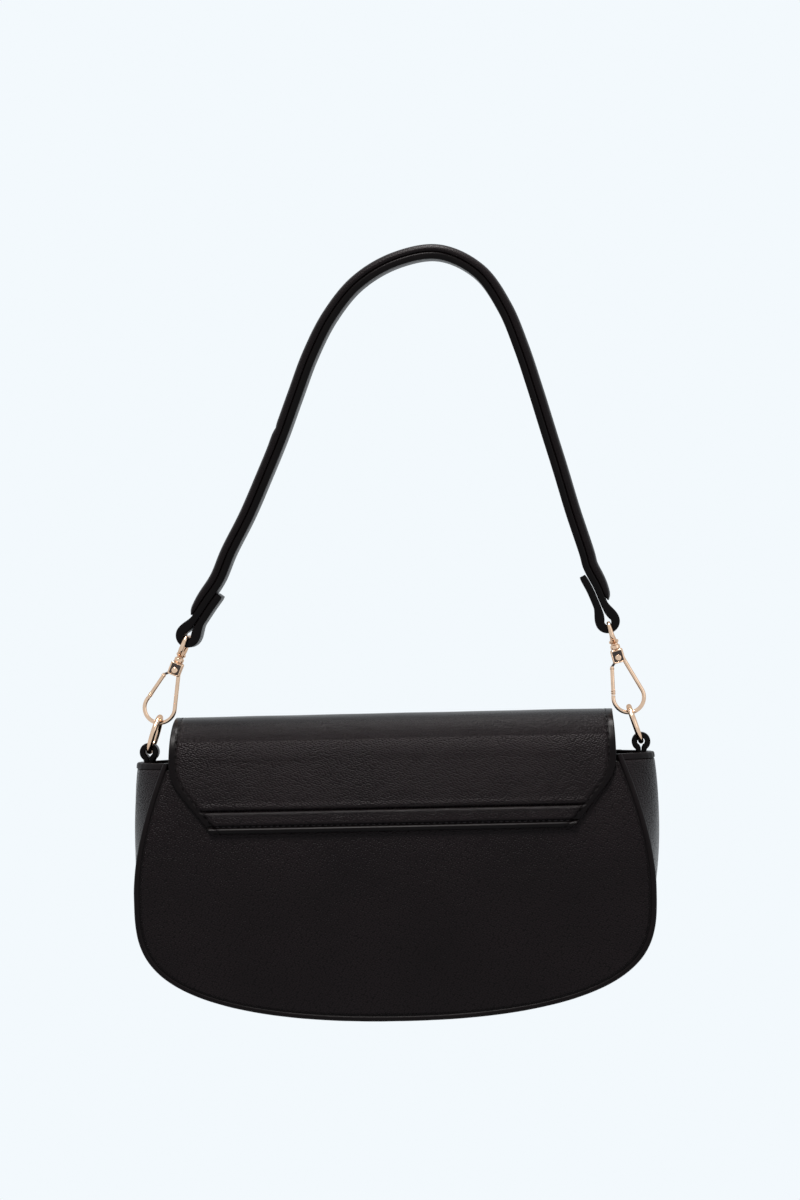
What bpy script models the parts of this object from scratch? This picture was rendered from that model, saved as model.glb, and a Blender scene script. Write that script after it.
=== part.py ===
"""Small flap shoulder bag hanging from its padded strap.

Units are metres and +Z is up. The origin is inside the strap, above the middle of the bag, where a
hand closes round it. The back panel, with the flap's sewn tail, faces -Y and the flap closes over +Y.
"Drop" is a distance below the bag's rim, and "rise" is one above it.
"""
import math

import bmesh
import bpy
import numpy as np
from mathutils import Matrix, Vector

# Clearances
GAP = 0.0003
PIN_GAP = 0.00025
RING_GAP = 0.0005
POCKET_GAP = 0.0006
CORE_GAP = 0.0004
OVERRUN = 0.001
SLIVER = 0.000001

# Bag body
BODY_WIDTH = 0.260
RIM_DRAW_IN = 0.0155
GUSSET_SWELL = 0.0030
BODY_HEIGHT = 0.130
WIDEST_DROP = 0.065
BODY_DEPTH = 0.063
RIM_DEPTH_DRAW_IN = 0.007
RIM_BELOW_GRIP = 0.2488
CROWN = 0.003
PIPING_RADIUS = 0.0015
LEATHER = 0.0016
BOARD = 0.0010
LINING = 0.0008
GUSSET_SET = 0.0004
HEM_HEIGHT = 0.0033
HEM_LAP = 0.0003
BINDING_BEVEL = 0.0005
OUTLINE_STEPS = 41
TOP_STEPS = 8
RING_SHARES = (1.0, 0.8, 0.5)
MIDDLE_SHARE = 0.46
GUSSET_STATION_SHARES = (-1.0, -0.62, -0.22, 0.22, 0.62, 1.0)

# Inside slip pocket
POCKET_WIDTH = 0.120
POCKET_HEIGHT = 0.072
POCKET_DROP = 0.028
POCKET_ROWS = 4
POCKET_COLUMNS = 8

# Flap
FLAP_RISE = 0.022
FLAP_TOP_IN = 0.0042
FLAP_RIM_IN = 0.0028
TAIL_LENGTH = 0.0352
TAIL_END_IN = 0.0245
FRONT_BELOW_MAGNET = 0.018
FRONT_END_IN = 0.0285
FLAP_SLANT_HEIGHT = 0.023
FLAP_CORNER = 0.003
FLAP_CORNER_SHARES = (1.0, 0.6, 0.2, 0.0)
FLAP_EDGE_TURN = 0.004
ARCH_HANDLE = 0.0145
ARCH_LEAN_SHARE = 0.21
FOLD_SHARE = 0.78
SHOULDER_IN_SHARE = 0.14
TURN_STEP_SHARE = 0.001
FLAP_COLUMNS = 10
ARCH_ROWS = 8
FRONT_ARCH_ROWS = 3
TAIL_ROWS = 4
FRONT_ROWS = 6

# Magnets sewn in behind the flap's leather and the front panel's
MAGNET_ABOVE_MIDDLE = 0.0043
MAGNET_RADIUS = 0.0075
MAGNET_THICKNESS = 0.0008
SEAT_CUT = 0.004
MAGNET_SIDES = 24

# Tabs and rings
TAB_IN = 0.0004
TAB_RISE = 0.0050
TAB_WIDTH = 0.008
TAB_HOLE_RADIUS = 0.0028
TAB_LEATHER = 0.0019
TAB_STEM_LENGTH = 0.014
TAB_STEM_THICKNESS = 0.0028
RING_WIRE = 0.0028
RING_DIAMETER = 0.0182
RING_ANGLE = 18.0

# Swivel clasps, in each clasp's own frame: +Z runs up its long axis, and the bend's centre is at zero
LEFT_CLASP_ANGLE = 22.8
RIGHT_CLASP_ANGLE = -14.4
CLASP_ANGLES = {"left": LEFT_CLASP_ANGLE, "right": RIGHT_CLASP_ANGLE}
HOOK_WIRE = 0.0020
BEND_RADIUS = 0.0077
NOSE_ANGLE = 158.0
SWIVEL_X = 0.0004
HEAD_WIDTH = 0.0064
HEAD_DEPTH = 0.0050
HEAD_BOTTOM = 0.0179
HEAD_TOP = 0.0249
HEAD_ROOF = 0.0012
HEAD_BEVEL = 0.0006
SLOT_WIDTH = 0.0031
SLOT_WALL = 0.0010
RIVET_RISE = 0.0206
RIVET_RADIUS = 0.0008
RIVET_HEAD_RADIUS = 0.0016
RIVET_HEAD_HEIGHT = 0.0006
GATE_THICKNESS = 0.0012
GATE_EYE_RADIUS = 0.0019
GATE_SHOULDER = (-0.0040, 0.0165)
SPRING_RADIUS = 0.0017
COLLAR_HEIGHT = 0.0048
COLLAR_RADIUS = 0.0024
SHANK_RADIUS = 0.0009
BUTTON_RADIUS = 0.0013
BUTTON_HEIGHT = 0.0006
EYE_RISE = 0.0385
EYE_HALF_WIDTH = 0.0092
EYE_WIRE = 0.0020
EYE_FOOT_WIRE = 0.0032
EYE_CORNER = 0.0022
EYE_LEG = 0.0068
# shares of (radius, height) of the rivet's head and of the collar, from the bottom up
RIVET_HEAD_SHARES = ((1.0, 0.0), (0.9, 0.6), (0.5, 1.0))
COLLAR_SHARES = (
    (0.92, 0.0), (1.0, 0.1), (1.0, 0.38), (0.75, 0.48), (0.75, 0.62), (1.0, 0.72), (1.0, 0.9), (0.8, 1.0),
)
# the eye's side from its foot up to the straight leg: shares of its half width, its rise and its foot's wire
EYE_FOOT_SHARE = 0.8
EYE_SIDE_SHARES = ((0.0, 0.0, 1.0), (0.45, 0.30, 1.0), (0.85, 0.85, 0.85), (1.0, 1.31, 0.75))

# Strap
STRAP_WIDTH = 0.015
STRIP_THICKNESS = 0.0036
PAD_THICKNESS = 0.0040
PAD_WALL = 0.0011
PAD_END_THICKNESS = 0.0023
PAD_TAPER = 0.016
# half of the pad's section from its foot to its top: shares of its height and of its half width
PAD_SECTION_SHARES = ((0.0, 1.0), (0.45, 1.0), (0.86, 0.72), (1.0, 0.25))
STRIP_EDGE = 0.0007
LOOP_RADIUS = 0.0044
LOOP_LENGTH = 0.0095
TAIL_STRIP_LENGTH = 0.026
THROAT_RUN = 0.0085
STRAP_RISE = 0.1868
LEFT_STRAP_ANGLE = 35.0
RIGHT_STRAP_ANGLE = -19.0
STRAP_ANGLES = {"left": LEFT_STRAP_ANGLE, "right": RIGHT_STRAP_ANGLE}
STRAP_STEPS = 40
LOOP_STEPS = 12
THROAT_STEPS = 4
# the strip's middle line: shares of the way from the left loop to the right one, and of the rise
STRAP_LINE_SHARES = (
    (0.099, 0.220), (0.154, 0.316), (0.197, 0.421), (0.240, 0.526), (0.277, 0.633), (0.315, 0.740),
    (0.364, 0.842), (0.430, 0.928), (0.519, 0.983), (0.619, 0.998), (0.708, 0.946), (0.765, 0.850),
    (0.802, 0.741), (0.832, 0.630), (0.860, 0.518), (0.889, 0.407), (0.918, 0.295), (0.957, 0.188),
)

# Roundness of the outline: the powers of its curves
ACROSS_CURVE_SHARE = 2.2
DOWN_CURVE_SHARE = 3.4
SIDE_CURVE_SHARE = 1.7
SWELL_START_SHARE = 0.06
SWELL_CURVE_SHARE = 0.8

# Counts and angles of the facets
OUTLINE_FINE_STEPS = 400
ARCH_FINE_STEPS = 60
STRAP_FINE_STEPS = 12
WIRE_SIDES = 12
TURNED_SIDES = 16
PIPING_SIDES = 8
BEND_STEPS = 20
RING_STEPS = 26
TAB_STEPS = 20
TAB_HOLE_SIDES = 24
GATE_EYE_STEPS = 8
EYE_CORNER_STEPS = 4
SMOOTH_ANGLE = 35.0
BEVEL_ANGLE = 40.0
BEVEL_SEGMENTS = 2

# Colours: base colour, roughness, metallic
LEATHER_BLACK = ((0.014, 0.011, 0.012, 1.0), 0.50, 0.0)
LEATHER_TRIM = ((0.010, 0.008, 0.009, 1.0), 0.42, 0.0)
CLOTH_LINING = ((0.020, 0.018, 0.020, 1.0), 0.85, 0.0)
BOARD_GREY = ((0.30, 0.28, 0.25, 1.0), 0.90, 0.0)
FOAM_BLACK = ((0.05, 0.05, 0.05, 1.0), 0.95, 0.0)
PALE_GOLD = ((0.80, 0.56, 0.36, 1.0), 0.22, 1.0)
SPRING_STEEL = ((0.55, 0.55, 0.56, 1.0), 0.30, 1.0)
MAGNET_STEEL = ((0.60, 0.60, 0.62, 1.0), 0.30, 1.0)

SIDES = {"left": -1, "right": 1}
FACES = {"back": -1, "front": 1}


def clear_scene():
    for obj in list(bpy.data.objects):
        bpy.data.objects.remove(obj, do_unlink=True)


def make_material(name, look):
    material = bpy.data.materials.new(name)
    material.use_nodes = True
    shader = material.node_tree.nodes["Principled BSDF"]
    colour, roughness, metallic = look
    shader.inputs["Base Color"].default_value = colour
    shader.inputs["Roughness"].default_value = roughness
    shader.inputs["Metallic"].default_value = metallic
    material.diffuse_color = colour
    return material


def add_empty(name, place, parent=None, turn=None):
    """An empty at a world place, with a world rotation."""
    empty = bpy.data.objects.new(name, None)
    bpy.context.collection.objects.link(empty)
    world = Matrix.Translation(place)
    if turn is not None:
        world = world @ turn.to_4x4()
    empty.parent = parent
    bpy.context.view_layer.update()
    empty.matrix_world = world
    bpy.context.view_layer.update()
    return empty


def add_piece(name, shape, look, parent=None):
    """A piece from points in its parent's frame. The faces are turned outward."""
    points, faces = shape
    mesh = bpy.data.meshes.new(name)
    mesh.from_pydata([tuple(p) for p in points], [], faces)
    work = bmesh.new()
    work.from_mesh(mesh)
    bmesh.ops.recalc_face_normals(work, faces=work.faces)
    work.to_mesh(mesh)
    work.free()
    mesh.shade_smooth()
    mesh.set_sharp_from_angle(angle=math.radians(SMOOTH_ANGLE))
    piece = bpy.data.objects.new(name, mesh)
    bpy.context.collection.objects.link(piece)
    piece.data.materials.append(make_material(name, look))
    piece.parent = parent
    return piece


def in_frame(shape, origin):
    """The same shape with its points measured from another origin."""
    points, faces = shape
    return [Vector(p) - Vector(origin) for p in points], faces


def combine(piece, other, operation):
    """Unite another object with a piece, or cut it out, and remove the other one."""
    modifier = piece.modifiers.new(operation.title(), "BOOLEAN")
    modifier.operation = operation
    modifier.solver = "EXACT"
    modifier.object = other
    bpy.context.view_layer.update()
    shaped = bpy.data.meshes.new_from_object(piece.evaluated_get(bpy.context.evaluated_depsgraph_get()))
    piece.modifiers.clear()
    piece.data = shaped
    bpy.data.objects.remove(other, do_unlink=True)
    work = bmesh.new()
    work.from_mesh(shaped)
    bmesh.ops.dissolve_degenerate(work, dist=SLIVER, edges=work.edges)
    bmesh.ops.triangulate(work, faces=work.faces)
    work.to_mesh(shaped)
    work.free()
    return piece


def bevel_edges(piece, width):
    modifier = piece.modifiers.new("Bevel", "BEVEL")
    modifier.width = width
    modifier.segments = BEVEL_SEGMENTS
    modifier.limit_method = "ANGLE"
    modifier.angle_limit = math.radians(BEVEL_ANGLE)
    return piece


# Basic solids, as lists of points and faces

def bridge(first, second, count, closed=True):
    """Quads between two rows of points, given the index of each row's first point."""
    last = count if closed else count - 1
    return [
        (first + k, first + (k + 1) % count, second + (k + 1) % count, second + k)
        for k in range(last)
    ]


def loft(rings):
    """A solid through closed rings of points, with a flat cap at each end."""
    count = len(rings[0])
    points = [p for ring in rings for p in ring]
    faces = []
    for k in range(len(rings) - 1):
        faces += bridge(k * count, (k + 1) * count, count)
    faces.append(tuple(range(count)))
    faces.append(tuple(range(len(points) - count, len(points))))
    return points, faces


def torus(rings):
    """A closed ring of rings."""
    count = len(rings[0])
    points = [p for ring in rings for p in ring]
    faces = []
    for k in range(len(rings)):
        faces += bridge(k * count, ((k + 1) % len(rings)) * count, count)
    return points, faces


def slab(upper, lower):
    """A sheet with thickness between two equal grids of points."""
    rows, columns = len(upper), len(upper[0])
    points = [p for grid in (upper, lower) for row in grid for p in row]
    half = rows * columns
    faces = []
    for r in range(rows - 1):
        for side in (0, half):
            faces += bridge(side + r * columns, side + (r + 1) * columns, columns, closed=False)
        for c in (0, columns - 1):
            a, b = r * columns + c, (r + 1) * columns + c
            faces.append((a, b, b + half, a + half))
    for r in (0, rows - 1):
        faces += bridge(r * columns, r * columns + half, columns, closed=False)
    return points, faces


def dome(upper_rings, upper_middle, lower_rings, lower_middle):
    """A sheet with thickness whose grids are closed rings around a middle point."""
    count = len(upper_rings[0])
    points = []
    faces = []
    starts = []
    for rings, middle in ((upper_rings, upper_middle), (lower_rings, lower_middle)):
        start = len(points)
        starts.append(start)
        for ring in rings:
            points += ring
        points.append(middle)
        for k in range(len(rings) - 1):
            faces += bridge(start + k * count, start + (k + 1) * count, count)
        inner = start + (len(rings) - 1) * count
        centre = len(points) - 1
        faces += [(inner + k, inner + (k + 1) % count, centre) for k in range(count)]
    faces += bridge(starts[0], starts[1], count)
    return points, faces


def circle(sides, radius, start=0.0):
    """Points of a circle as pairs."""
    turns = [start + 2 * math.pi * k / sides for k in range(sides)]
    return [(radius * math.cos(a), radius * math.sin(a)) for a in turns]


def turned(profile, sides, centre, axis, across):
    """A solid of revolution from (radius, height) pairs between two closed ends."""
    along = Vector(axis).normalized()
    first = Vector(across).normalized()
    second = along.cross(first)
    rings = []
    for radius, height in profile:
        middle = Vector(centre) + along * height
        rings.append([middle + first * a + second * b for a, b in circle(sides, radius)])
    return loft(rings)


def box(low, high):
    xs, ys, zs = zip(low, high)
    corners = ((xs[0], ys[0]), (xs[1], ys[0]), (xs[1], ys[1]), (xs[0], ys[1]))
    return loft([[(x, y, z) for x, y in corners] for z in zs])


def wire(line, radii, sides=WIRE_SIDES, closed=False):
    """A round wire along points, square to its own path."""
    places = [Vector(p) for p in line]
    count = len(places)
    rings = []
    side = None
    for k, place in enumerate(places):
        before = places[(k - 1) % count] if closed or k else place
        after = places[(k + 1) % count] if closed or k < count - 1 else place
        ahead = (after - before).normalized()
        if side is None:
            side = ahead.orthogonal().normalized()
        side = (side - ahead * side.dot(ahead)).normalized()
        other = ahead.cross(side)
        radius = radii[k] if isinstance(radii, list) else radii
        rings.append([place + side * a + other * b for a, b in circle(sides, radius)])
    return torus(rings) if closed else loft(rings)


# The body's outline and surfaces

def rim_z():
    return -RIM_BELOW_GRIP


def half_width(drop):
    """Half of the body's width over the piping."""
    widest, rim = BODY_WIDTH / 2, BODY_WIDTH / 2 - RIM_DRAW_IN
    if drop <= WIDEST_DROP:
        return widest - (widest - rim) * ((WIDEST_DROP - drop) / WIDEST_DROP) ** SIDE_CURVE_SHARE
    share = min((drop - WIDEST_DROP) / (BODY_HEIGHT - WIDEST_DROP), 1.0)
    return widest * (1 - share ** DOWN_CURVE_SHARE) ** (1 / ACROSS_CURVE_SHARE)


def half_depth(drop):
    """Half of the depth over the two pipings: the panels draw together towards the rim."""
    lean = max(0.0, (WIDEST_DROP - drop) / WIDEST_DROP)
    return BODY_DEPTH / 2 - RIM_DEPTH_DRAW_IN * lean ** 2


def middle_bulge(drop):
    """How far the gusset's middle stands out beyond the panels' edges."""
    share = min(max(drop / WIDEST_DROP, 0.0), 1.0)
    rounded = math.sin(math.pi * (SWELL_START_SHARE + (1 - SWELL_START_SHARE) * share)) ** SWELL_CURVE_SHARE
    middle = BODY_WIDTH / 2 + GUSSET_SWELL * rounded
    return max(0.0, middle - half_width(drop)) if share < 1 else 0.0


def crown(x, drop):
    """How far a filled panel swells beyond its seam."""
    share = min(max(drop / BODY_HEIGHT, 0.0), 1.0)
    return CROWN * (1 - (2 * x / BODY_WIDTH) ** 2) * math.sin(math.pi * share)


def even_outline(top):
    """Evenly spaced (x, drop) points down the left side, along the bottom and up the right side."""
    fine = OUTLINE_FINE_STEPS
    drops = [top + (WIDEST_DROP - top) * k / fine for k in range(fine)]
    side = [(half_width(drop), drop) for drop in drops]
    low = []
    for k in range(fine + 1):
        turn = math.pi / 2 * k / fine
        across = math.cos(turn) ** (2 / ACROSS_CURVE_SHARE) if k < fine else 0.0
        low.append((BODY_WIDTH / 2 * across,
                    WIDEST_DROP + (BODY_HEIGHT - WIDEST_DROP) * math.sin(turn) ** (2 / DOWN_CURVE_SHARE)))
    right = np.array(side + low)
    whole = np.concatenate([right * (-1, 1), right[-2::-1]])
    lengths = np.concatenate([[0], np.cumsum(np.linalg.norm(np.diff(whole, axis=0), axis=1))])
    even = np.linspace(0, lengths[-1], OUTLINE_STEPS + 1)
    return np.stack([np.interp(even, lengths, whole[:, c]) for c in (0, 1)], 1)


def inward_offsets(points):
    """The step inward for each outline point, level at both ends so that every layer ends level."""
    ahead = np.gradient(points, axis=0)
    ahead /= np.linalg.norm(ahead, axis=1)[:, None]
    inward = np.stack([ahead[:, 1], -ahead[:, 0]], 1)
    for end in (0, -1):
        inward[end] = (1 / inward[end][0], 0.0)
    return inward


LAYER_TOP = HEM_HEIGHT + GAP
OUTLINE = even_outline(LAYER_TOP)
INWARD = inward_offsets(OUTLINE)


def edge_points(inset):
    return OUTLINE + INWARD * inset


def world(x, y, drop):
    return Vector((x, y, rim_z() - drop))


# Depth of each layer of a panel, measured inward from the piping's outer side
PANEL_SET = GAP
PANEL_INSET = 2 * PIPING_RADIUS + GAP
GUSSET_LINING_INSET = GUSSET_SET + LEATHER + GAP
PANEL_LINER_INSET = GUSSET_LINING_INSET + LINING + GAP
BOARD_SET = PANEL_SET + LEATHER + GAP
LINING_SET = BOARD_SET + BOARD + GAP
STACK_INSIDE = LINING_SET + LINING
GUSSET_EDGE_SET = 2 * PIPING_RADIUS + GAP
MIDDLE_DROP = BODY_HEIGHT * MIDDLE_SHARE


def panel_layer(facing, inset, depth_set, thickness):
    """One crowned layer of a panel: leather, board or lining."""
    edge = edge_points(inset)
    left, right = edge[0], edge[-1]
    top = [right + (left - right) * k / TOP_STEPS for k in range(1, TOP_STEPS)]
    loop = np.concatenate([edge, np.array(top)])
    middle = np.array((0.0, MIDDLE_DROP))

    def surface(depth):
        def place(p):
            return world(p[0], facing * (half_depth(p[1]) - depth + crown(p[0], p[1])), p[1])
        rings = [[place(middle + (p - middle) * share) for p in loop] for share in RING_SHARES]
        return rings, place(middle)

    outer_rings, outer_middle = surface(depth_set)
    inner_rings, inner_middle = surface(depth_set + thickness)
    return dome(outer_rings, outer_middle, inner_rings, inner_middle)


def gusset_layer(inset, thickness):
    """The strip round the sides and bottom, bowed out between the panels near the rim."""
    def surface(depth):
        edge = edge_points(depth)
        rows = []
        for (x, drop), (base_x, base_drop) in zip(edge, OUTLINE):
            side = math.copysign(1.0, base_x)
            reach = half_depth(base_drop) - GUSSET_EDGE_SET
            bulge = middle_bulge(base_drop)
            rows.append([
                world(x + side * bulge * (1 - share ** 2), share * reach, drop)
                for share in GUSSET_STATION_SHARES
            ])
        return rows
    return slab(surface(inset), surface(inset + thickness))


def gusset_hem(side):
    """The folded edge along the top of the gusset."""
    low, high = GUSSET_SET - HEM_LAP, GUSSET_LINING_INSET + LINING + HEM_LAP
    level = abs(INWARD[-1][0])

    def surface(inset):
        return [
            [world(side * (half_width(drop) - inset * level + middle_bulge(drop) * (1 - share ** 2)),
                   share * (half_depth(drop) - GUSSET_EDGE_SET), drop) for share in GUSSET_STATION_SHARES]
            for drop in (0.0, HEM_HEIGHT)
        ]
    return slab(surface(low), surface(high))


def top_binding(facing):
    """The binding folded over a panel's top edge."""
    level = abs(INWARD[-1][0])
    rings = []
    for drop in (HEM_HEIGHT, 0.0):
        reach = half_width(drop) - (PANEL_LINER_INSET + HEM_LAP + GAP) * level
        outer = facing * (half_depth(drop) - PANEL_SET)
        inner = facing * (half_depth(drop) - STACK_INSIDE - HEM_LAP)
        rings.append([world(x, y, drop) for x, y in
                      ((-reach, outer), (reach, outer), (reach, inner), (-reach, inner))])
    return loft(rings)


def piping(facing):
    """The round piping in the seam between a panel and the gusset."""
    level = INWARD[-1][0]
    ends = [np.array((side * half_width(0.0), 0.0)) for side in (-1, 1)]
    base = np.concatenate([[ends[0]], OUTLINE, [ends[1]]])
    inward = np.concatenate([[(-level, 0.0)], INWARD, [(level, 0.0)]])
    rings = []
    for point, step in zip(base, inward):
        ring = []
        for a, b in circle(PIPING_SIDES, PIPING_RADIUS):
            x, drop = point + step * (PIPING_RADIUS - a)
            ring.append(world(x, facing * (half_depth(point[1]) - PIPING_RADIUS + b), drop))
        rings.append(ring)
    return loft(rings)


def slip_pocket():
    """A flat pocket sewn to the back lining, inside the bag."""
    def surface(depth):
        rows = []
        for r in range(POCKET_ROWS + 1):
            drop = POCKET_DROP + POCKET_HEIGHT * r / POCKET_ROWS
            row = []
            for c in range(POCKET_COLUMNS + 1):
                x = POCKET_WIDTH * (c / POCKET_COLUMNS - 1 / 2)
                row.append(world(x, -(half_depth(drop) - depth + crown(x, drop)), drop))
            rows.append(row)
        return rows
    seat = STACK_INSIDE + POCKET_GAP
    return slab(surface(seat), surface(seat + LINING))


# The flap

FRONT_STACK = LINING + GAP + BOARD + GAP + LEATHER
TAIL_REACH = half_depth(0.0) - PANEL_SET + GAP + LEATHER
FRONT_REACH = half_depth(0.0) - PANEL_SET + GAP + FRONT_STACK


def bezier(points, t):
    a, b, c, d = (np.array(p) for p in points)
    return a * (1 - t) ** 3 + 3 * b * t * (1 - t) ** 2 + 3 * c * t ** 2 * (1 - t) + d * t ** 3


def arch_line(t):
    """(y, rise) and the outward normal along the arch: t runs 0 at the back rim, 1 at the front rim."""
    behind = 2 * t < 1
    facing = -1.0 if behind else 1.0
    reach = TAIL_REACH if behind else FRONT_REACH
    share = 2 * t if behind else 2 * (1 - t)
    lean = ARCH_LEAN_SHARE * ARCH_HANDLE
    corners = ((facing * reach, 0.0), (facing * (reach - lean), ARCH_HANDLE),
               (facing * ARCH_HANDLE, FLAP_RISE), (0.0, FLAP_RISE))
    step = TURN_STEP_SHARE
    near = max(min(share, 1 - step), step)
    ahead = bezier(corners, near + step) - bezier(corners, near - step)
    ahead /= np.linalg.norm(ahead)
    normal = np.array((facing * ahead[1], -facing * ahead[0]))
    return bezier(corners, share), normal


def front_length():
    """How far the flap's front hangs below the rim."""
    return magnet_drop() + FRONT_BELOW_MAGNET


def flap_half_width(rise, length, end_in):
    """Half of the flap's width at a height above the rim, which is negative below it."""
    top, rim = half_width(0.0) - FLAP_TOP_IN, half_width(0.0) - FLAP_RIM_IN
    if rise >= 0:
        return rim + (top - rim) * (rise / FLAP_RISE) ** 2
    drop = -rise
    slant_top = length - FLAP_SLANT_HEIGHT
    end = half_width(0.0) - end_in
    shoulder = rim - (rim - end) * SHOULDER_IN_SHARE
    if drop <= slant_top:
        width = rim - (rim - shoulder) * (drop / slant_top) ** 2
    else:
        width = shoulder + (end - shoulder) * (drop - slant_top) / FLAP_SLANT_HEIGHT
    left = length - drop
    if left < FLAP_CORNER:
        width -= FLAP_CORNER - math.sqrt(max(FLAP_CORNER ** 2 - (FLAP_CORNER - left) ** 2, 0.0))
    return width


def flap_sheet(rows, depth, thickness):
    """A layer of the flap through rows of (y, rise, normal, half width, does it lie on a panel)."""
    def surface(down):
        grid = []
        for (y, rise), normal, width, facing in rows:
            row = []
            for c in range(FLAP_COLUMNS + 1):
                x = width * (2 * c / FLAP_COLUMNS - 1)
                swell = facing * crown(x, -rise)
                row.append(Vector((x, y + swell - normal[0] * down, rim_z() + rise - normal[1] * down)))
            grid.append(row)
        return grid
    return slab(surface(depth), surface(depth + thickness))


def arch_rows(start, end, count, inset=0.0):
    """Rows along the arch; the first and last cuts at the rim lie level."""
    rows = []
    for k in range(count + 1):
        t = start + (end - start) * k / count
        place, normal = arch_line(t)
        if place[1] < OVERRUN:
            normal = np.array((math.copysign(1.0, 2 * t - 1), 0.0))
        width = flap_half_width(place[1], front_length(), FRONT_END_IN) - inset
        rows.append((place, normal, width, 0.0))
    return rows


def hanging_rows(facing, reach, length, end_in, count, inset=0.0):
    """Rows down a panel from the rim to the flap's edge."""
    rows = []
    straight = [(length - FLAP_CORNER) * k / count for k in range(count)]
    corner = [length - FLAP_CORNER * share for share in FLAP_CORNER_SHARES]
    for drop in straight + corner:
        y = facing * (reach + half_depth(drop) - half_depth(0.0))
        width = flap_half_width(-drop, length, end_in) - inset
        rows.append(((y, -drop + (inset if drop == length else 0.0)), (facing, 0.0), width, facing))
    return rows


# Magnets

def magnet_drop():
    """The magnets' place, on the flat facet above the panel's middle."""
    return MIDDLE_DROP - MAGNET_ABOVE_MIDDLE - MAGNET_RADIUS


def magnet_frame(depth, low, high):
    """Middle and outward normal of the magnet's spot on a board of the front that is flat from low to high."""
    first, last = (half_depth(drop) - depth + crown(0.0, drop) for drop in (low, high))
    slope = (last - first) / (high - low)
    drop = magnet_drop()
    return world(0.0, first + slope * (drop - low), drop), Vector((0.0, 1.0, slope)).normalized()


def magnet_disc(spot, radius, thickness):
    middle, normal = spot
    half = thickness / 2
    return turned([(radius, -half), (radius, half)], MAGNET_SIDES, middle, normal, (1, 0, 0))


def seat_magnet(name, board, spot, parent):
    """A thin disc magnet in a hole through a stiffening board."""
    origin = parent.matrix_world.translation
    hole = magnet_disc(spot, MAGNET_RADIUS + GAP, SEAT_CUT)
    cutter = add_piece("seat", in_frame(hole, origin), MAGNET_STEEL, parent)
    combine(board, cutter, "DIFFERENCE")
    add_piece(name, in_frame(magnet_disc(spot, MAGNET_RADIUS, MAGNET_THICKNESS), origin), MAGNET_STEEL, parent)


# Tabs and rings

def ring_middle(side):
    """The ring's middle: its lowest wire hangs against the top of the tab's loop."""
    half_tab = TAB_WIDTH / 2
    radius = RING_DIAMETER / 2
    sag = radius - math.sqrt(radius ** 2 - half_tab ** 2)
    low = TAB_RISE + TAB_HOLE_RADIUS - GAP - RING_WIRE / 2 - sag
    lean = math.radians(RING_ANGLE)
    foot = Vector((side * tab_place(), 0.0, rim_z() + low))
    return foot + radius * Vector((-side * math.sin(lean), 0.0, math.cos(lean))), foot


def ring_shape(side):
    middle, foot = ring_middle(side)
    up = (middle - foot).normalized()
    line = [middle + up * a + Vector((0, b, 0)) for a, b in circle(RING_STEPS, RING_DIAMETER / 2)]
    return wire(line, RING_WIRE / 2, closed=True)


def tab_shape(side):
    """A strip of leather folded into a round loop, with its two ends as one stem inside the bag."""
    outer = TAB_HOLE_RADIUS + TAB_LEATHER
    stem_x = stem_middle()
    half = TAB_STEM_THICKNESS / 2
    foot_turn = math.asin(half / outer)
    outside = []
    for k in range(TAB_STEPS + 1):
        turn = -math.pi / 2 + foot_turn + (2 * math.pi - 2 * foot_turn) * k / TAB_STEPS
        outside.append((side * tab_place() + outer * math.cos(turn), TAB_RISE + outer * math.sin(turn)))
    bottom = -TAB_STEM_LENGTH
    bend = [(side * stem_x - half, -HEM_HEIGHT / 2), (side * stem_x - half, bottom),
            (side * stem_x + half, bottom), (side * stem_x + half, -HEM_HEIGHT / 2)]
    outline = outside + bend
    rings = [[(x, y, rim_z() + z) for x, z in outline] for y in (-TAB_WIDTH / 2, TAB_WIDTH / 2)]
    return loft(rings)


def tab_place():
    """The middle of the tab's loop, above its stem."""
    return stem_middle() - TAB_IN


def stem_middle():
    """The stem lies against the inside of the gusset's hem."""
    level = abs(INWARD[-1][0])
    flat_share = 1 - min(abs(share) for share in GUSSET_STATION_SHARES) ** 2
    inside = half_width(0.0) + middle_bulge(0.0) * flat_share - (GUSSET_LINING_INSET + LINING + HEM_LAP) * level
    return inside - GAP - TAB_STEM_THICKNESS / 2


def tab_hole(side):
    x, z = side * tab_place(), rim_z() + TAB_RISE
    reach = TAB_WIDTH / 2 + OVERRUN
    outline = circle(TAB_HOLE_SIDES, TAB_HOLE_RADIUS)
    return loft([[(x + a, y, z + b) for a, b in outline] for y in (-reach, reach)])


# Clasps

def bend_centre(side):
    """The middle of the hook's bend, so that the ring's top wire rests in it."""
    middle, foot = ring_middle(side)
    top = middle * 2 - foot
    return top + Vector((0, 0, BEND_RADIUS - HOOK_WIRE / 2 - RING_GAP - RING_WIRE / 2))


def clasp_turn(side_name):
    return Matrix.Rotation(math.radians(CLASP_ANGLES[side_name]), 3, "Y")


def swing_height():
    """Height of the line through both hooks' lowest wire, which the bag swings about."""
    return bend_centre(1.0).z - BEND_RADIUS


def hook_line():
    """The hook's wire: from the head down the arm, round the bend and up to the nose."""
    arm_top = Vector((SWIVEL_X + HEAD_WIDTH / 2 - HOOK_WIRE / 2, 0.0, HEAD_BOTTOM + HOOK_WIRE))
    reach = math.hypot(arm_top.x, arm_top.z)
    touch = math.atan2(arm_top.z, arm_top.x) - math.acos(BEND_RADIUS / reach)
    end = math.radians(NOSE_ANGLE - 360.0)
    line = [arm_top]
    for k in range(BEND_STEPS + 1):
        turn = touch + (end - touch) * k / BEND_STEPS
        line.append(Vector((BEND_RADIUS * math.cos(turn), 0.0, BEND_RADIUS * math.sin(turn))))
    return line


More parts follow.
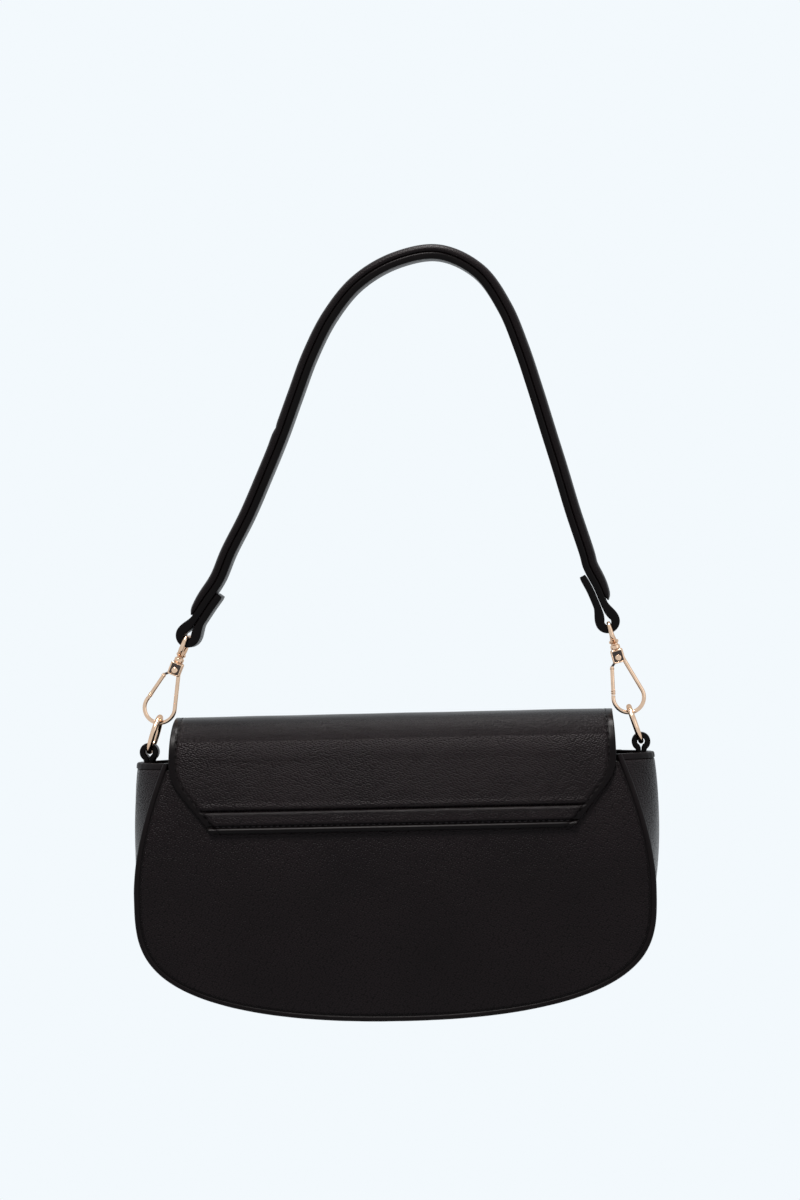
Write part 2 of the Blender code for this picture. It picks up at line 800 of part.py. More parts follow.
def gate_line():
    """The gate's bar: from just above the nose to its shoulder below the head."""
    nose = hook_line()[-1]
    shoulder = Vector((GATE_SHOULDER[0], 0.0, GATE_SHOULDER[1]))
    start = nose + (shoulder - nose).normalized() * (HOOK_WIRE / 2 + GAP)
    return start, shoulder


def rivet_bore():
    """The hole for the rivet through the head and the gate's tongue."""
    bore = RIVET_RADIUS + PIN_GAP
    return turned([(bore, -HEAD_DEPTH), (bore, HEAD_DEPTH)], WIRE_SIDES, (SWIVEL_X, 0.0, RIVET_RISE),
                  (0, 1, 0), (1, 0, 0))


def hook_piece(name, parent):
    piece = add_piece(name, wire(hook_line(), HOOK_WIRE / 2), PALE_GOLD, parent)
    half = HEAD_WIDTH / 2
    head = add_piece("head", box((SWIVEL_X - half, -HEAD_DEPTH / 2, HEAD_BOTTOM),
                                 (SWIVEL_X + half, HEAD_DEPTH / 2, HEAD_TOP)), PALE_GOLD, parent)
    bevel_edges(head, HEAD_BEVEL)
    combine(piece, head, "UNION")
    slot = add_piece("slot", box((SWIVEL_X - half - OVERRUN, -SLOT_WIDTH / 2, HEAD_BOTTOM - OVERRUN),
                                 (SWIVEL_X + half - SLOT_WALL, SLOT_WIDTH / 2, HEAD_TOP - HEAD_ROOF)),
                     PALE_GOLD, parent)
    combine(piece, slot, "DIFFERENCE")
    combine(piece, add_piece("bore", rivet_bore(), PALE_GOLD, parent), "DIFFERENCE")
    neck = SHANK_RADIUS + PIN_GAP
    hole = turned([(neck, -HEAD_ROOF - OVERRUN), (neck, OVERRUN)], WIRE_SIDES, (SWIVEL_X, 0.0, HEAD_TOP),
                  (0, 0, 1), (1, 0, 0))
    combine(piece, add_piece("neck", hole, PALE_GOLD, parent), "DIFFERENCE")
    return piece


def gate_piece(name, parent, pivot):
    """The spring gate: a round bar and a flat tongue that turns on the rivet."""
    start, shoulder = gate_line()
    bar = wire([start, shoulder], HOOK_WIRE / 2)
    piece = add_piece(name, in_frame(bar, pivot), PALE_GOLD, parent)
    middle = Vector((SWIVEL_X, 0.0, RIVET_RISE))
    along = (middle - shoulder).normalized()
    across = Vector((along.z, 0.0, -along.x))
    y_low = -SLOT_WIDTH / 2 + GAP
    outline = []
    for k in range(GATE_EYE_STEPS + 1):
        turn = math.pi * k / GATE_EYE_STEPS
        outline.append(middle + (across * math.cos(turn) + along * math.sin(turn)) * GATE_EYE_RADIUS)
    half = HOOK_WIRE / 2
    outline += [shoulder - across * half, shoulder + across * half]
    rings = [[p + Vector((0, y, 0)) for p in outline] for y in (y_low, y_low + GATE_THICKNESS)]
    combine(piece, add_piece("tongue", in_frame(loft(rings), pivot), PALE_GOLD, parent), "UNION")
    combine(piece, add_piece("bore", in_frame(rivet_bore(), pivot), PALE_GOLD, parent), "DIFFERENCE")
    return piece


def rivet_shape():
    reach = HEAD_DEPTH / 2 + PIN_GAP
    head = [(RIVET_HEAD_RADIUS * wide, reach + RIVET_HEAD_HEIGHT * high) for wide, high in RIVET_HEAD_SHARES]
    half = [(RIVET_RADIUS, reach)] + head
    profile = [(radius, -height) for radius, height in reversed(half)] + half
    return turned(profile, TURNED_SIDES, (SWIVEL_X, 0.0, RIVET_RISE), (0, 1, 0), (1, 0, 0))


def spring_shape():
    """The gate's small torsion spring, as a sleeve on the rivet beside the tongue."""
    low = -SLOT_WIDTH / 2 + GAP + GATE_THICKNESS + GAP
    high = SLOT_WIDTH / 2 - GAP
    inner = RIVET_RADIUS + PIN_GAP
    rings = []
    for radius, y in ((inner, low), (SPRING_RADIUS, low), (SPRING_RADIUS, high), (inner, high)):
        rings.append([Vector((SWIVEL_X + a, y, RIVET_RISE + b)) for a, b in circle(WIRE_SIDES, radius)])
    return torus(rings)


def eye_piece(name, parent):
    """The swivel eye: a loop for the strap, a collar, and a shank held in the hook's head."""
    button = HEAD_TOP - HEAD_ROOF - PIN_GAP
    foot = HEAD_TOP + PIN_GAP
    profile = [(BUTTON_RADIUS, button - BUTTON_HEIGHT), (BUTTON_RADIUS, button), (SHANK_RADIUS, button),
               (SHANK_RADIUS, foot)]
    profile += [(COLLAR_RADIUS * wide, foot + COLLAR_HEIGHT * high) for wide, high in COLLAR_SHARES]
    collar = turned(profile, TURNED_SIDES, (SWIVEL_X, 0.0, 0.0), (0, 0, 1), (1, 0, 0))
    piece = add_piece(name, collar, PALE_GOLD, parent)
    base = foot + COLLAR_HEIGHT * EYE_FOOT_SHARE
    side_rise = EYE_RISE - EYE_LEG - base
    half = [(EYE_HALF_WIDTH * wide, base + side_rise * high, EYE_FOOT_WIRE * thick)
            for wide, high, thick in EYE_SIDE_SHARES]
    for k in range(EYE_CORNER_STEPS + 1):
        turn = math.pi / 2 * k / EYE_CORNER_STEPS
        half.append((EYE_HALF_WIDTH - EYE_CORNER * (1 - math.cos(turn)),
                     EYE_RISE - EYE_CORNER * (1 - math.sin(turn)), EYE_WIRE))
    whole = half + [(0.0, EYE_RISE, EYE_WIRE)] + [(-y, z, size) for y, z, size in reversed(half[1:])]
    line = [(SWIVEL_X, y, z) for y, z, size in whole]
    loop = wire(line, [size / 2 for y, z, size in whole], closed=True)
    combine(piece, add_piece("loop", loop, PALE_GOLD, parent), "UNION")
    return piece


# Strap

def eye_bar(side_name):
    """World place of the middle of the eye's bar."""
    turn = clasp_turn(side_name)
    return bend_centre(SIDES[side_name]) + turn @ Vector((SWIVEL_X, 0.0, EYE_RISE))


def strap_axis(side_name):
    """Unit vectors up along the strap's end and out from the arch."""
    lean = math.radians(STRAP_ANGLES[side_name])
    up = Vector((math.sin(lean), 0.0, math.cos(lean)))
    out = Vector((up.z, 0.0, -up.x)) * SIDES[side_name]
    return up, out


def loop_centre(side_name):
    up, out = strap_axis(side_name)
    slack = LOOP_RADIUS - STRIP_THICKNESS / 2 - EYE_WIRE / 2 - GAP
    return eye_bar(side_name) + up * slack


def strip_gap():
    """Half of the distance between the middles of the strip and its returned tail."""
    return (STRIP_THICKNESS + GAP) / 2


def loop_line(side_name):
    """The strip from its junction with the arch, round the eye, and back up to the tail's end."""
    up, out = strap_axis(side_name)
    centre = loop_centre(side_name)
    narrow = strip_gap()
    line = []
    for k in range(THROAT_STEPS, 0, -1):
        share = k / THROAT_STEPS
        swell = narrow + (LOOP_RADIUS - narrow) * (1 + math.cos(math.pi * share)) / 2
        line.append(centre + up * LOOP_LENGTH * share + out * swell)
    for k in range(LOOP_STEPS + 1):
        turn = math.pi * k / LOOP_STEPS
        line.append(centre + out * LOOP_RADIUS * math.cos(turn) - up * LOOP_RADIUS * math.sin(turn))
    for k in range(1, THROAT_STEPS + 1):
        share = k / THROAT_STEPS
        swell = narrow + (LOOP_RADIUS - narrow) * (1 + math.cos(math.pi * share)) / 2
        line.append(centre + up * LOOP_LENGTH * share - out * swell)
    return line


def catmull(points, fine):
    """A smooth line through points."""
    ends = [points[0] * 2 - points[1]] + points + [points[-1] * 2 - points[-2]]
    line = []
    for k in range(1, len(ends) - 2):
        p0, p1, p2, p3 = ends[k - 1:k + 3]
        for step in range(fine):
            t = step / fine
            line.append(0.5 * (2 * p1 + (p2 - p0) * t + (2 * p0 - 5 * p1 + 4 * p2 - p3) * t ** 2
                               + (3 * p1 - p0 - 3 * p2 + p3) * t ** 3))
    line.append(points[-1])
    return line


def spread_even(line, count):
    """The same line with evenly spaced points."""
    places = np.array([tuple(p) for p in line])
    lengths = np.concatenate([[0], np.cumsum(np.linalg.norm(np.diff(places, axis=0), axis=1))])
    even = np.linspace(0, lengths[-1], count + 1)
    return [Vector([np.interp(e, lengths, places[:, c]) for c in range(3)]) for e in even]


def arch_path():
    """The strip's middle line over the arch, from the left loop's throat to the right one's."""
    left, right = loop_centre("left"), loop_centre("right")
    points = [loop_line("left")[0]]
    for across, rise in STRAP_LINE_SHARES:
        points.append(left + (right - left) * across + Vector((0, 0, STRAP_RISE * rise)))
    points.append(loop_line("right")[0])
    ends = []
    for name, point in (("left", points[0]), ("right", points[-1])):
        up, out = strap_axis(name)
        ends.append(point + up * THROAT_RUN)
    line = catmull([points[0], ends[0]] + points[1:-1] + [ends[1], points[-1]], STRAP_FINE_STEPS)
    return spread_even(line, STRAP_STEPS)


def frames(line):
    """Each point of a line in the XZ plane with its outward side, left of the way along."""
    found = []
    for k, place in enumerate(line):
        before, after = line[max(k - 1, 0)], line[min(k + 1, len(line) - 1)]
        ahead = (after - before).normalized()
        found.append((place, Vector((-ahead.z, 0.0, ahead.x))))
    return found


def section(place, outward, outline):
    """A ring from (outward distance, y) pairs."""
    return [place + outward * a + Vector((0, y, 0)) for a, y in outline]


def strip_section():
    half, side, edge = STRIP_THICKNESS / 2, STRAP_WIDTH / 2, STRIP_EDGE
    return [(half, -side + edge), (half, side - edge), (half - edge, side), (-half + edge, side),
            (-half, side - edge), (-half, -side + edge), (-half + edge, -side), (half - edge, -side)]


def strap_strip():
    left = list(reversed(loop_line("left")))
    right = loop_line("right")
    line = left + arch_path()[1:-1] + right
    for name, at_start in (("left", True), ("right", False)):
        up, out = strap_axis(name)
        end = loop_centre(name) + up * TAIL_STRIP_LENGTH - out * strip_gap()
        line = [end] + line if at_start else line + [end]
    return loft([section(place, outward, strip_section()) for place, outward in frames(line)])


def pad_height(share_length, total):
    """Thickness of the pad, tapering to its ends."""
    near = min(share_length, total - share_length)
    share = min(near / PAD_TAPER, 1.0)
    return PAD_END_THICKNESS + (PAD_THICKNESS - PAD_END_THICKNESS) * math.sin(math.pi / 2 * share)


def pad_sections(shape):
    """Rings along the padded part of the arch from a function of the pad's thickness."""
    line = arch_path()
    steps = [0.0]
    for a, b in zip(line, line[1:]):
        steps.append(steps[-1] + (b - a).length)
    total = steps[-1]
    rings = []
    for (place, outward), at in zip(frames(line), steps):
        base = place + outward * (STRIP_THICKNESS / 2 + GAP)
        rings.append(section(base, outward, shape(pad_height(at, total))))
    return rings


def pad_outline(side, height):
    """The domed outside of the pad's section, from one foot over the top to the other."""
    half = [(height * high, side * wide) for high, wide in PAD_SECTION_SHARES]
    return [(high, -wide) for high, wide in half] + half[::-1]


def pad_cover_outline(height):
    """A channel: the outside of the pad and its inner wall, open towards the strip."""
    side = STRAP_WIDTH / 2
    return pad_outline(side, height) + pad_outline(side - PAD_WALL, height - PAD_WALL)[::-1]


def pad_core_outline(height):
    return pad_outline(STRAP_WIDTH / 2 - PAD_WALL - CORE_GAP, height - PAD_WALL - CORE_GAP)


# Assembly

def build_body(bag):
    origin = bag.matrix_world.translation

    def add(name, shape, look):
        return add_piece(name, in_frame(shape, origin), look, bag)

    for name, facing in FACES.items():
        add(f"{name}_panel", panel_layer(facing, PANEL_INSET, PANEL_SET, LEATHER), LEATHER_BLACK)
        board = add(f"{name}_stiffener", panel_layer(facing, PANEL_LINER_INSET, BOARD_SET, BOARD), BOARD_GREY)
        if name == "front":
            flat_top = MIDDLE_DROP + (LAYER_TOP - MIDDLE_DROP) * RING_SHARES[-1]
            seat_magnet("panel_magnet", board, magnet_frame(BOARD_SET + BOARD / 2, flat_top, MIDDLE_DROP), bag)
        add(f"{name}_lining", panel_layer(facing, PANEL_LINER_INSET, LINING_SET, LINING), CLOTH_LINING)
        add(f"{name}_piping", piping(facing), LEATHER_TRIM)
        bevel_edges(add(f"{name}_top_binding", top_binding(facing), LEATHER_TRIM), BINDING_BEVEL)
    add("gusset", gusset_layer(GUSSET_SET, LEATHER), LEATHER_BLACK)
    add("gusset_lining", gusset_layer(GUSSET_LINING_INSET, LINING), CLOTH_LINING)
    add("inner_pocket", slip_pocket(), CLOTH_LINING)
    for name, side in SIDES.items():
        add(f"{name}_gusset_hem", gusset_hem(side), LEATHER_TRIM)
        tab = add(f"{name}_tab", tab_shape(side), LEATHER_TRIM)
        combine(tab, add_piece("hole", in_frame(tab_hole(side), origin), LEATHER_TRIM, bag), "DIFFERENCE")
        foot = ring_middle(side)[1]
        pivot = add_empty(f"{name}_ring_pivot", foot, bag)
        add_piece(f"{name}_ring", in_frame(ring_shape(side), foot), PALE_GOLD, pivot)


def build_flap(bag):
    origin = bag.matrix_world.translation
    tail_rows = hanging_rows(-1.0, TAIL_REACH, TAIL_LENGTH, TAIL_END_IN, TAIL_ROWS)
    add_piece("flap_tail", in_frame(flap_sheet(tail_rows, 0.0, LEATHER), origin), LEATHER_BLACK, bag)

    lift_place = Vector((0.0, -TAIL_REACH, rim_z() + GAP / 2))
    lift = add_empty("flap_lift_axis", lift_place, bag)
    fold_y, fold_rise = arch_line(FOLD_SHARE)[0]
    fold_place = Vector((0.0, fold_y, rim_z() + fold_rise))
    fold = add_empty("flap_fold_axis", fold_place, lift)

    start, end = bridge_span()
    leather = flap_sheet(arch_rows(start, end, ARCH_ROWS), 0.0, LEATHER)
    add_piece("flap_bridge", in_frame(leather, lift_place), LEATHER_BLACK, lift)
    lining = flap_sheet(arch_rows(start, end, ARCH_ROWS, FLAP_EDGE_TURN), LEATHER + GAP, LINING)
    add_piece("flap_bridge_lining", in_frame(lining, lift_place), CLOTH_LINING, lift)
    under = LEATHER + GAP + BOARD + GAP

    half_gap = GAP / 2 / arch_length()

    def front_rows(inset):
        upper = arch_rows(FOLD_SHARE + half_gap, 1.0, FRONT_ARCH_ROWS, inset)[:-1]
        return upper + hanging_rows(1.0, FRONT_REACH, front_length(), FRONT_END_IN, FRONT_ROWS, inset)
    leather = flap_sheet(front_rows(0.0), 0.0, LEATHER)
    add_piece("flap_front", in_frame(leather, fold_place), LEATHER_BLACK, fold)
    stiffener = flap_sheet(front_rows(FLAP_EDGE_TURN), LEATHER + GAP, BOARD)
    board = add_piece("flap_front_stiffener", in_frame(stiffener, fold_place), BOARD_GREY, fold)
    depth = PANEL_SET - GAP - FRONT_STACK + LEATHER + GAP + BOARD / 2
    spot = magnet_frame(depth, magnet_drop() - MAGNET_RADIUS, magnet_drop() + MAGNET_RADIUS)
    seat_magnet("flap_magnet", board, spot, fold)
    lining = flap_sheet(front_rows(FLAP_EDGE_TURN), under, LINING)
    add_piece("flap_front_lining", in_frame(lining, fold_place), CLOTH_LINING, fold)


def arch_length():
    points = [arch_line(k / ARCH_FINE_STEPS)[0] for k in range(ARCH_FINE_STEPS + 1)]
    return sum(float(np.linalg.norm(b - a)) for a, b in zip(points, points[1:]))


def bridge_span():
    """Shares of the arch that the bridge takes between the two folds."""
    length = arch_length()
    return GAP / length, FOLD_SHARE - GAP / 2 / length


def build_clasp(name):
    side = SIDES[name]
    turn = clasp_turn(name)
    centre = bend_centre(side)
    swivel = add_empty(f"{name}_clasp_frame", centre, None, turn)
    eye_piece(f"{name}_clasp_eye", swivel)
    hook_piece(f"{name}_clasp_hook", swivel)
    pivot = Vector((SWIVEL_X, 0.0, RIVET_RISE))
    gate = add_empty(f"{name}_gate_pivot", centre + turn @ pivot, swivel, turn)
    gate_piece(f"{name}_clasp_gate", gate, pivot)
    add_piece(f"{name}_clasp_rivet", rivet_shape(), PALE_GOLD, swivel)
    add_piece(f"{name}_gate_spring", spring_shape(), SPRING_STEEL, swivel)


def build_strap():
    add_piece("strap_strip", strap_strip(), LEATHER_TRIM)
    add_piece("strap_pad_cover", loft(pad_sections(pad_cover_outline)), LEATHER_BLACK)
    add_piece("strap_pad_core", loft(pad_sections(pad_core_outline)), FOAM_BLACK)


def build():
    clear_scene()
    bag = add_empty("bag_swing_axis", Vector((0.0, 0.0, swing_height())))
    build_body(bag)
    build_flap(bag)
    for name in SIDES:
        build_clasp(name)
    build_strap()


build()
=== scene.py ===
"""Looks of the small flap shoulder bag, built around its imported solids.

Units are metres. The back of the bag, with the flap's sewn tail, faces -Y, and its rim lies at RIM.
"Drop" is a distance below the rim and "rise" one above it.
"""
import math

import bmesh
import bpy
import numpy as np
from mathutils import Matrix, Vector


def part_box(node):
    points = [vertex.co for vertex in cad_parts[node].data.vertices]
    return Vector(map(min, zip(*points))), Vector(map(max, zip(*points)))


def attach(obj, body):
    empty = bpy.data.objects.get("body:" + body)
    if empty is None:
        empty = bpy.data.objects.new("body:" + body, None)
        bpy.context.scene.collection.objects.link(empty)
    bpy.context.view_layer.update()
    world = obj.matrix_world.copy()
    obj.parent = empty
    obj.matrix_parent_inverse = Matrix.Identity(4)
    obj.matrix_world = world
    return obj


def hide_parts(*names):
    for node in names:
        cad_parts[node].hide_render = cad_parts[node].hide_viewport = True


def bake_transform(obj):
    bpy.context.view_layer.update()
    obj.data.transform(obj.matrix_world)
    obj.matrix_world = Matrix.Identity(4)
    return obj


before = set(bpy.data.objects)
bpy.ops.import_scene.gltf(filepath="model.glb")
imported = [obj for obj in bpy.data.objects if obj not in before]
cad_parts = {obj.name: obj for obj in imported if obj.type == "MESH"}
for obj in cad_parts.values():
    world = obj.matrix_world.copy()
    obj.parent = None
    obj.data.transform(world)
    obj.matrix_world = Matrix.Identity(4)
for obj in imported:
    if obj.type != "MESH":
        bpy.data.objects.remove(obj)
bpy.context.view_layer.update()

# Sizes that the solids have too
RIM = -0.2488
HALF_WIDTH, RIM_IN, GUSSET_SWELL = 0.130, 0.0155, 0.0030
HEIGHT, WIDEST = 0.130, 0.065
SIDE_POWER, LOW_POWER, LOW_ROOT = 1.7, 3.4, 2.2
HALF_DEPTH, RIM_DEPTH_IN, CROWN = 0.0315, 0.007, 0.003
GAP, PIPE, HEM = 0.0003, 0.0015, 0.0033
LEATHER, BOARD, LINING = 0.0016, 0.0010, 0.0008
GUSSET_SET = 0.0004
GUSSET_LINING_IN = GUSSET_SET + LEATHER + GAP
LINER_IN = GUSSET_LINING_IN + LINING + GAP
LINING_SET = GAP + LEATHER + GAP + BOARD + GAP
STACK_IN = LINING_SET + LINING
FLAP_RISE = 0.022
FLAP_TOP_IN, FLAP_RIM_IN = 0.0042, 0.0028
TAIL_LENGTH, TAIL_END_IN = 0.0352, 0.0245
FRONT_LENGTH, FRONT_END_IN = 0.066, 0.0285
SLANT_HEIGHT, SLANT_SHOULDER = 0.023, 0.14
ARCH_HANDLE, ARCH_LEAN = 0.0145, 0.21
FRONT_STACK = LINING + GAP + BOARD + GAP + LEATHER
BEND_X, BEND_Z, BEND_RADIUS = 0.118653, -0.221517, 0.0077
RING_X, RING_Z, FOOT_X, FOOT_Z = 0.121465, -0.234972, 0.124277, -0.243626
RING_WIRE, HOOK_WIRE, EYE_WIRE = 0.0028, 0.0020, 0.0020
# Each clasp's side, its own lean and the lean of the strap's end at it, in degrees
CLASPS = {"left": (-1.0, 22.8, 35.0), "right": (1.0, -14.4, -22.0)}


# Meshes

def add_object(name, data):
    made = bpy.data.objects.new(name, data)
    bpy.context.scene.collection.objects.link(made)
    return made


def mesh_object(name, points, faces, smooth=38.0):
    """A smooth mesh whose edges stay crisp where they turn by more than an angle."""
    mesh = bpy.data.meshes.new(name)
    mesh.from_pydata([tuple(p) for p in points], [], faces)
    work = bmesh.new()
    work.from_mesh(mesh)
    bmesh.ops.recalc_face_normals(work, faces=work.faces)
    work.to_mesh(mesh)
    work.free()
    mesh.shade_smooth()
    mesh.set_sharp_from_angle(angle=math.radians(smooth))
    return add_object(name, mesh)


def lay_hide(piece, along):
    """Keeps where each point lies on its flat hide: two distances, and how much grain shows there."""
    values = np.concatenate([np.reshape(part, (-1, 3)) for part in along])
    mark = piece.data.attributes.new("hide", "FLOAT_VECTOR", "POINT")
    mark.data.foreach_set("vector", values.astype(np.float32).ravel())


def unit(vectors):
    return vectors / np.linalg.norm(vectors, axis=-1, keepdims=True)


def arc(points, axis=0):
    """Distances along a line of points, or along a grid's rows or columns."""
    steps = np.linalg.norm(np.diff(points, axis=axis), axis=-1)
    return np.cumsum(np.pad(steps, [(int(k == axis), 0) for k in range(steps.ndim)]), axis=axis)


def circle(count):
    return np.linspace(0, 2 * math.pi, count, endpoint=False)


def around(count, first, second):
    """A circle of radius 1 from its two directions."""
    turns = circle(count)
    return np.outer(np.cos(turns), first) + np.outer(np.sin(turns), second)


def eased(value, power):
    """A sine or cosine to a power, with its sign kept: below 1, it makes a round section squarer."""
    return np.sign(value) * np.abs(value) ** power


def strip_faces(first, second, closed=True):
    count = len(first)
    last = count if closed else count - 1
    return [(first[k], first[(k + 1) % count], second[(k + 1) % count], second[k]) for k in range(last)]


def grid_faces(rows, columns, base=0, closed=False):
    """Faces of a grid whose points are numbered row by row."""
    lines = [list(range(base + r * columns, base + (r + 1) * columns)) for r in range(rows)]
    return [face for one, other in zip(lines, lines[1:]) for face in strip_faces(one, other, closed)]


def join_rings(name, rings, closed=False, smooth=38.0):
    """A tube through rings of equal counts, capped at its ends or joined to itself."""
    count, total = len(rings[0]), len(rings) * len(rings[0])
    faces = grid_faces(len(rings), count, closed=True)
    first, last = list(range(count)), list(range(total - count, total))
    faces += strip_faces(last, first) if closed else [tuple(first), tuple(last)]
    return mesh_object(name, np.concatenate(rings), faces, smooth)


def border(rows, columns):
    """Grid places of the border, in order round it."""
    return ([(0, c) for c in range(columns)] + [(r, columns - 1) for r in range(1, rows)]
            + [(rows - 1, c) for c in range(columns - 2, -1, -1)] + [(r, 0) for r in range(rows - 2, 0, -1)])


def edge_line(top, bottom, out):
    """The line that a sheet's edge reaches: halfway through its thickness, and a little further out."""
    rows, columns = top.shape[:2]
    middle = (top + bottom) / 2
    line = []
    for r, c in border(rows, columns):
        away = middle[r, c] - middle[min(max(r, 1), rows - 2), min(max(c, 1), columns - 2)]
        line.append(middle[r, c] + away / max(np.linalg.norm(away), 1e-9) * out)
    return np.array(line)


def round_edge(points, faces, top_ring, bottom_ring, edge, steps):
    """Closes a sheet between its upper and lower borders, given as point numbers, with a rounded edge."""
    flat = np.concatenate(points)
    top, middle = flat[top_ring], (flat[top_ring] + flat[bottom_ring]) / 2
    previous, count = top_ring, len(flat)
    for k in range(1, steps):
        turn = math.pi * (k / steps - 0.5)
        points.append(middle + (edge - middle) * math.cos(turn) - (top - middle) * math.sin(turn))
        current = list(range(count, count + len(top)))
        faces += strip_faces(previous, current)
        previous, count = current, count + len(top)
    faces += strip_faces(previous, bottom_ring)


def sheet_solid(name, top, bottom, edge, steps=4, smooth=38.0, hide=None):
    """A sheet with a rounded edge from two grids and the line that its edge reaches."""
    rows, columns = top.shape[:2]
    half = rows * columns
    points = [top.reshape(-1, 3), bottom.reshape(-1, 3)]
    faces = grid_faces(rows, columns) + grid_faces(rows, columns, half)
    ring = [r * columns + c for r, c in border(rows, columns)]
    round_edge(points, faces, ring, [half + i for i in ring], edge, steps)
    piece = mesh_object(name, np.concatenate(points), faces, smooth)
    if hide is not None:
        flat = hide.reshape(-1, 3)
        lay_hide(piece, [flat, flat] + [flat[ring]] * (steps - 1))
    return piece


def join_pieces(name, pieces):
    """One mesh out of several objects."""
    work = bmesh.new()
    for piece in pieces:
        mesh = piece.data
        work.from_mesh(mesh)
        bpy.data.objects.remove(piece)
        bpy.data.meshes.remove(mesh)
    mesh = bpy.data.meshes.new(name)
    work.to_mesh(mesh)
    work.free()
    return add_object(name, mesh)


def wave(x, y, z, scale, seed):
    """A smooth even wobble of about -1 to 1 from a few sines, the same on every run."""
    rng = np.random.default_rng(seed)
    total = 0.0
    for _ in range(6):
        direction = rng.normal(size=3)
        direction /= np.linalg.norm(direction)
        pitch = scale * rng.uniform(0.6, 1.6)
        phase = rng.uniform(0, 2 * math.pi)
        run = direction[0] * x + direction[1] * y + direction[2] * z
        total = total + np.sin(2 * math.pi * run / pitch + phase)
    return total / 6


def at_lengths(points, lengths, wanted):
    """A line's points at wanted distances along it."""
    return np.stack([np.interp(wanted, lengths, column) for column in points.T], 1)


def resample(points, count):
    points = np.asarray(points, float)
    lengths = arc(points)
    return at_lengths(points, lengths, np.linspace(0, lengths[-1], count))


def smooth_line(points, fine=12):
    """A curve through the points, with this many steps between neighbours."""
    points = [np.asarray(p, float) for p in points]
    ends = [points[0] * 2 - points[1]] + points + [points[-1] * 2 - points[-2]]
    line = []
    for k in range(1, len(ends) - 2):
        a, b, c, d = ends[k - 1:k + 3]
        for t in np.arange(fine) / fine:
            line.append(0.5 * (2 * b + (c - a) * t + (2 * a - 5 * b + 4 * c - d) * t ** 2
                               + (3 * b - a - 3 * c + d) * t ** 3))
    return np.array(line + [points[-1]])


def tube(name, line, radius, sides=16, closed=False):
    """A round wire along a line; radius is one number or one for each point."""
    line = np.asarray(line, float)
    steps = np.roll(line, -1, 0) - np.roll(line, 1, 0) if closed else np.gradient(line, axis=0)
    rings, side = [], None
    for at, ahead, size in zip(line, unit(steps), np.broadcast_to(radius, len(line))):
        if side is None:
            side = np.array(Vector(ahead).orthogonal().normalized())
        side = unit(side - ahead * side.dot(ahead))
        rings.append(at + size * around(sides, side, np.cross(ahead, side)))
    return join_rings(name, rings, closed, 60.0)


def lathe(name, profile, origin, axis, count=40):
    """A turned shape from (radius, height) pairs along an axis."""
    first = np.array(Vector(axis).orthogonal().normalized())
    circle_points = around(count, first, np.cross(axis, first))
    rings = [origin + np.asarray(axis) * height + radius * circle_points for radius, height in profile]
    return join_rings(name, rings, smooth=40.0)


# Materials

class Stuff:
    """The nodes of a material or world. A socket takes a number, a tuple or another node's output."""

    def __init__(self, owner):
        owner.use_nodes = True
        self.owner, self.nodes, self.links = owner, owner.node_tree.nodes, owner.node_tree.links

    def feed(self, socket, value):
        if isinstance(value, bpy.types.NodeSocket):
            self.links.new(value, socket)
        elif value is not None:
            socket.default_value = value

    def add(self, kind, *feeds, **named):
        """The outputs of a new node. Its first sockets take feeds; other sockets and settings are named."""
        made = self.nodes.new("ShaderNode" + kind)
        for key, value in named.items():
            if key in made.inputs:
                self.feed(made.inputs[key], value)
            else:
                setattr(made, key, value)
        for socket, value in zip(made.inputs, feeds):
            self.feed(socket, value)
        return made.outputs

    def maths(self, operation, *values, clamp=False):
        return self.add("Math", *values, operation=operation, use_clamp=clamp)[0]

    def place(self, scale=(1.0, 1.0, 1.0)):
        """Object coordinates, stretched by a scale for each axis."""
        return self.add("Mapping", self.add("TexCoord")["Object"], Scale=scale)[0]

    def noise(self, vector, scale, detail=3.0, rough=0.5, output="Fac"):
        return self.add("TexNoise", vector, Scale=scale, Detail=detail, Roughness=rough)[output]

    def bent(self, vector, soft_vector, scale, bend):
        """A vector that a soft noise bends."""
        soft = self.noise(soft_vector, scale, 2.0, output="Color")
        shift = self.add("VectorMath", soft, operation="SCALE", Scale=bend)[0]
        return self.add("VectorMath", vector, shift, operation="ADD")[0]

    def bump(self, height, strength, distance, before=None):
        return self.add("Bump", Strength=strength, Distance=distance, Height=height, Normal=before)["Normal"]

    def ramp(self, value, *stops):
        made = self.nodes.new("ShaderNodeValToRGB")
        self.feed(made.inputs[0], value)
        elements = made.color_ramp.elements
        while len(elements) < len(stops):
            elements.new(0.5)
        for element, (at, colour) in zip(elements, stops):
            element.position = at
            element.color = (*colour, 1.0)
        return made.outputs[0]

    def paint(self, colour, rough, normal, *more):
        """Feeds the shader's colour, roughness and normal, and more of its sockets by name."""
        shader = self.nodes["Principled BSDF"]
        for name, value in (("Base Color", colour), ("Roughness", rough), ("Normal", normal), *more):
            self.feed(shader.inputs[name], value)
        return self.owner


def times(colour, factor):
    return tuple(min(1.0, part * factor) for part in colour)


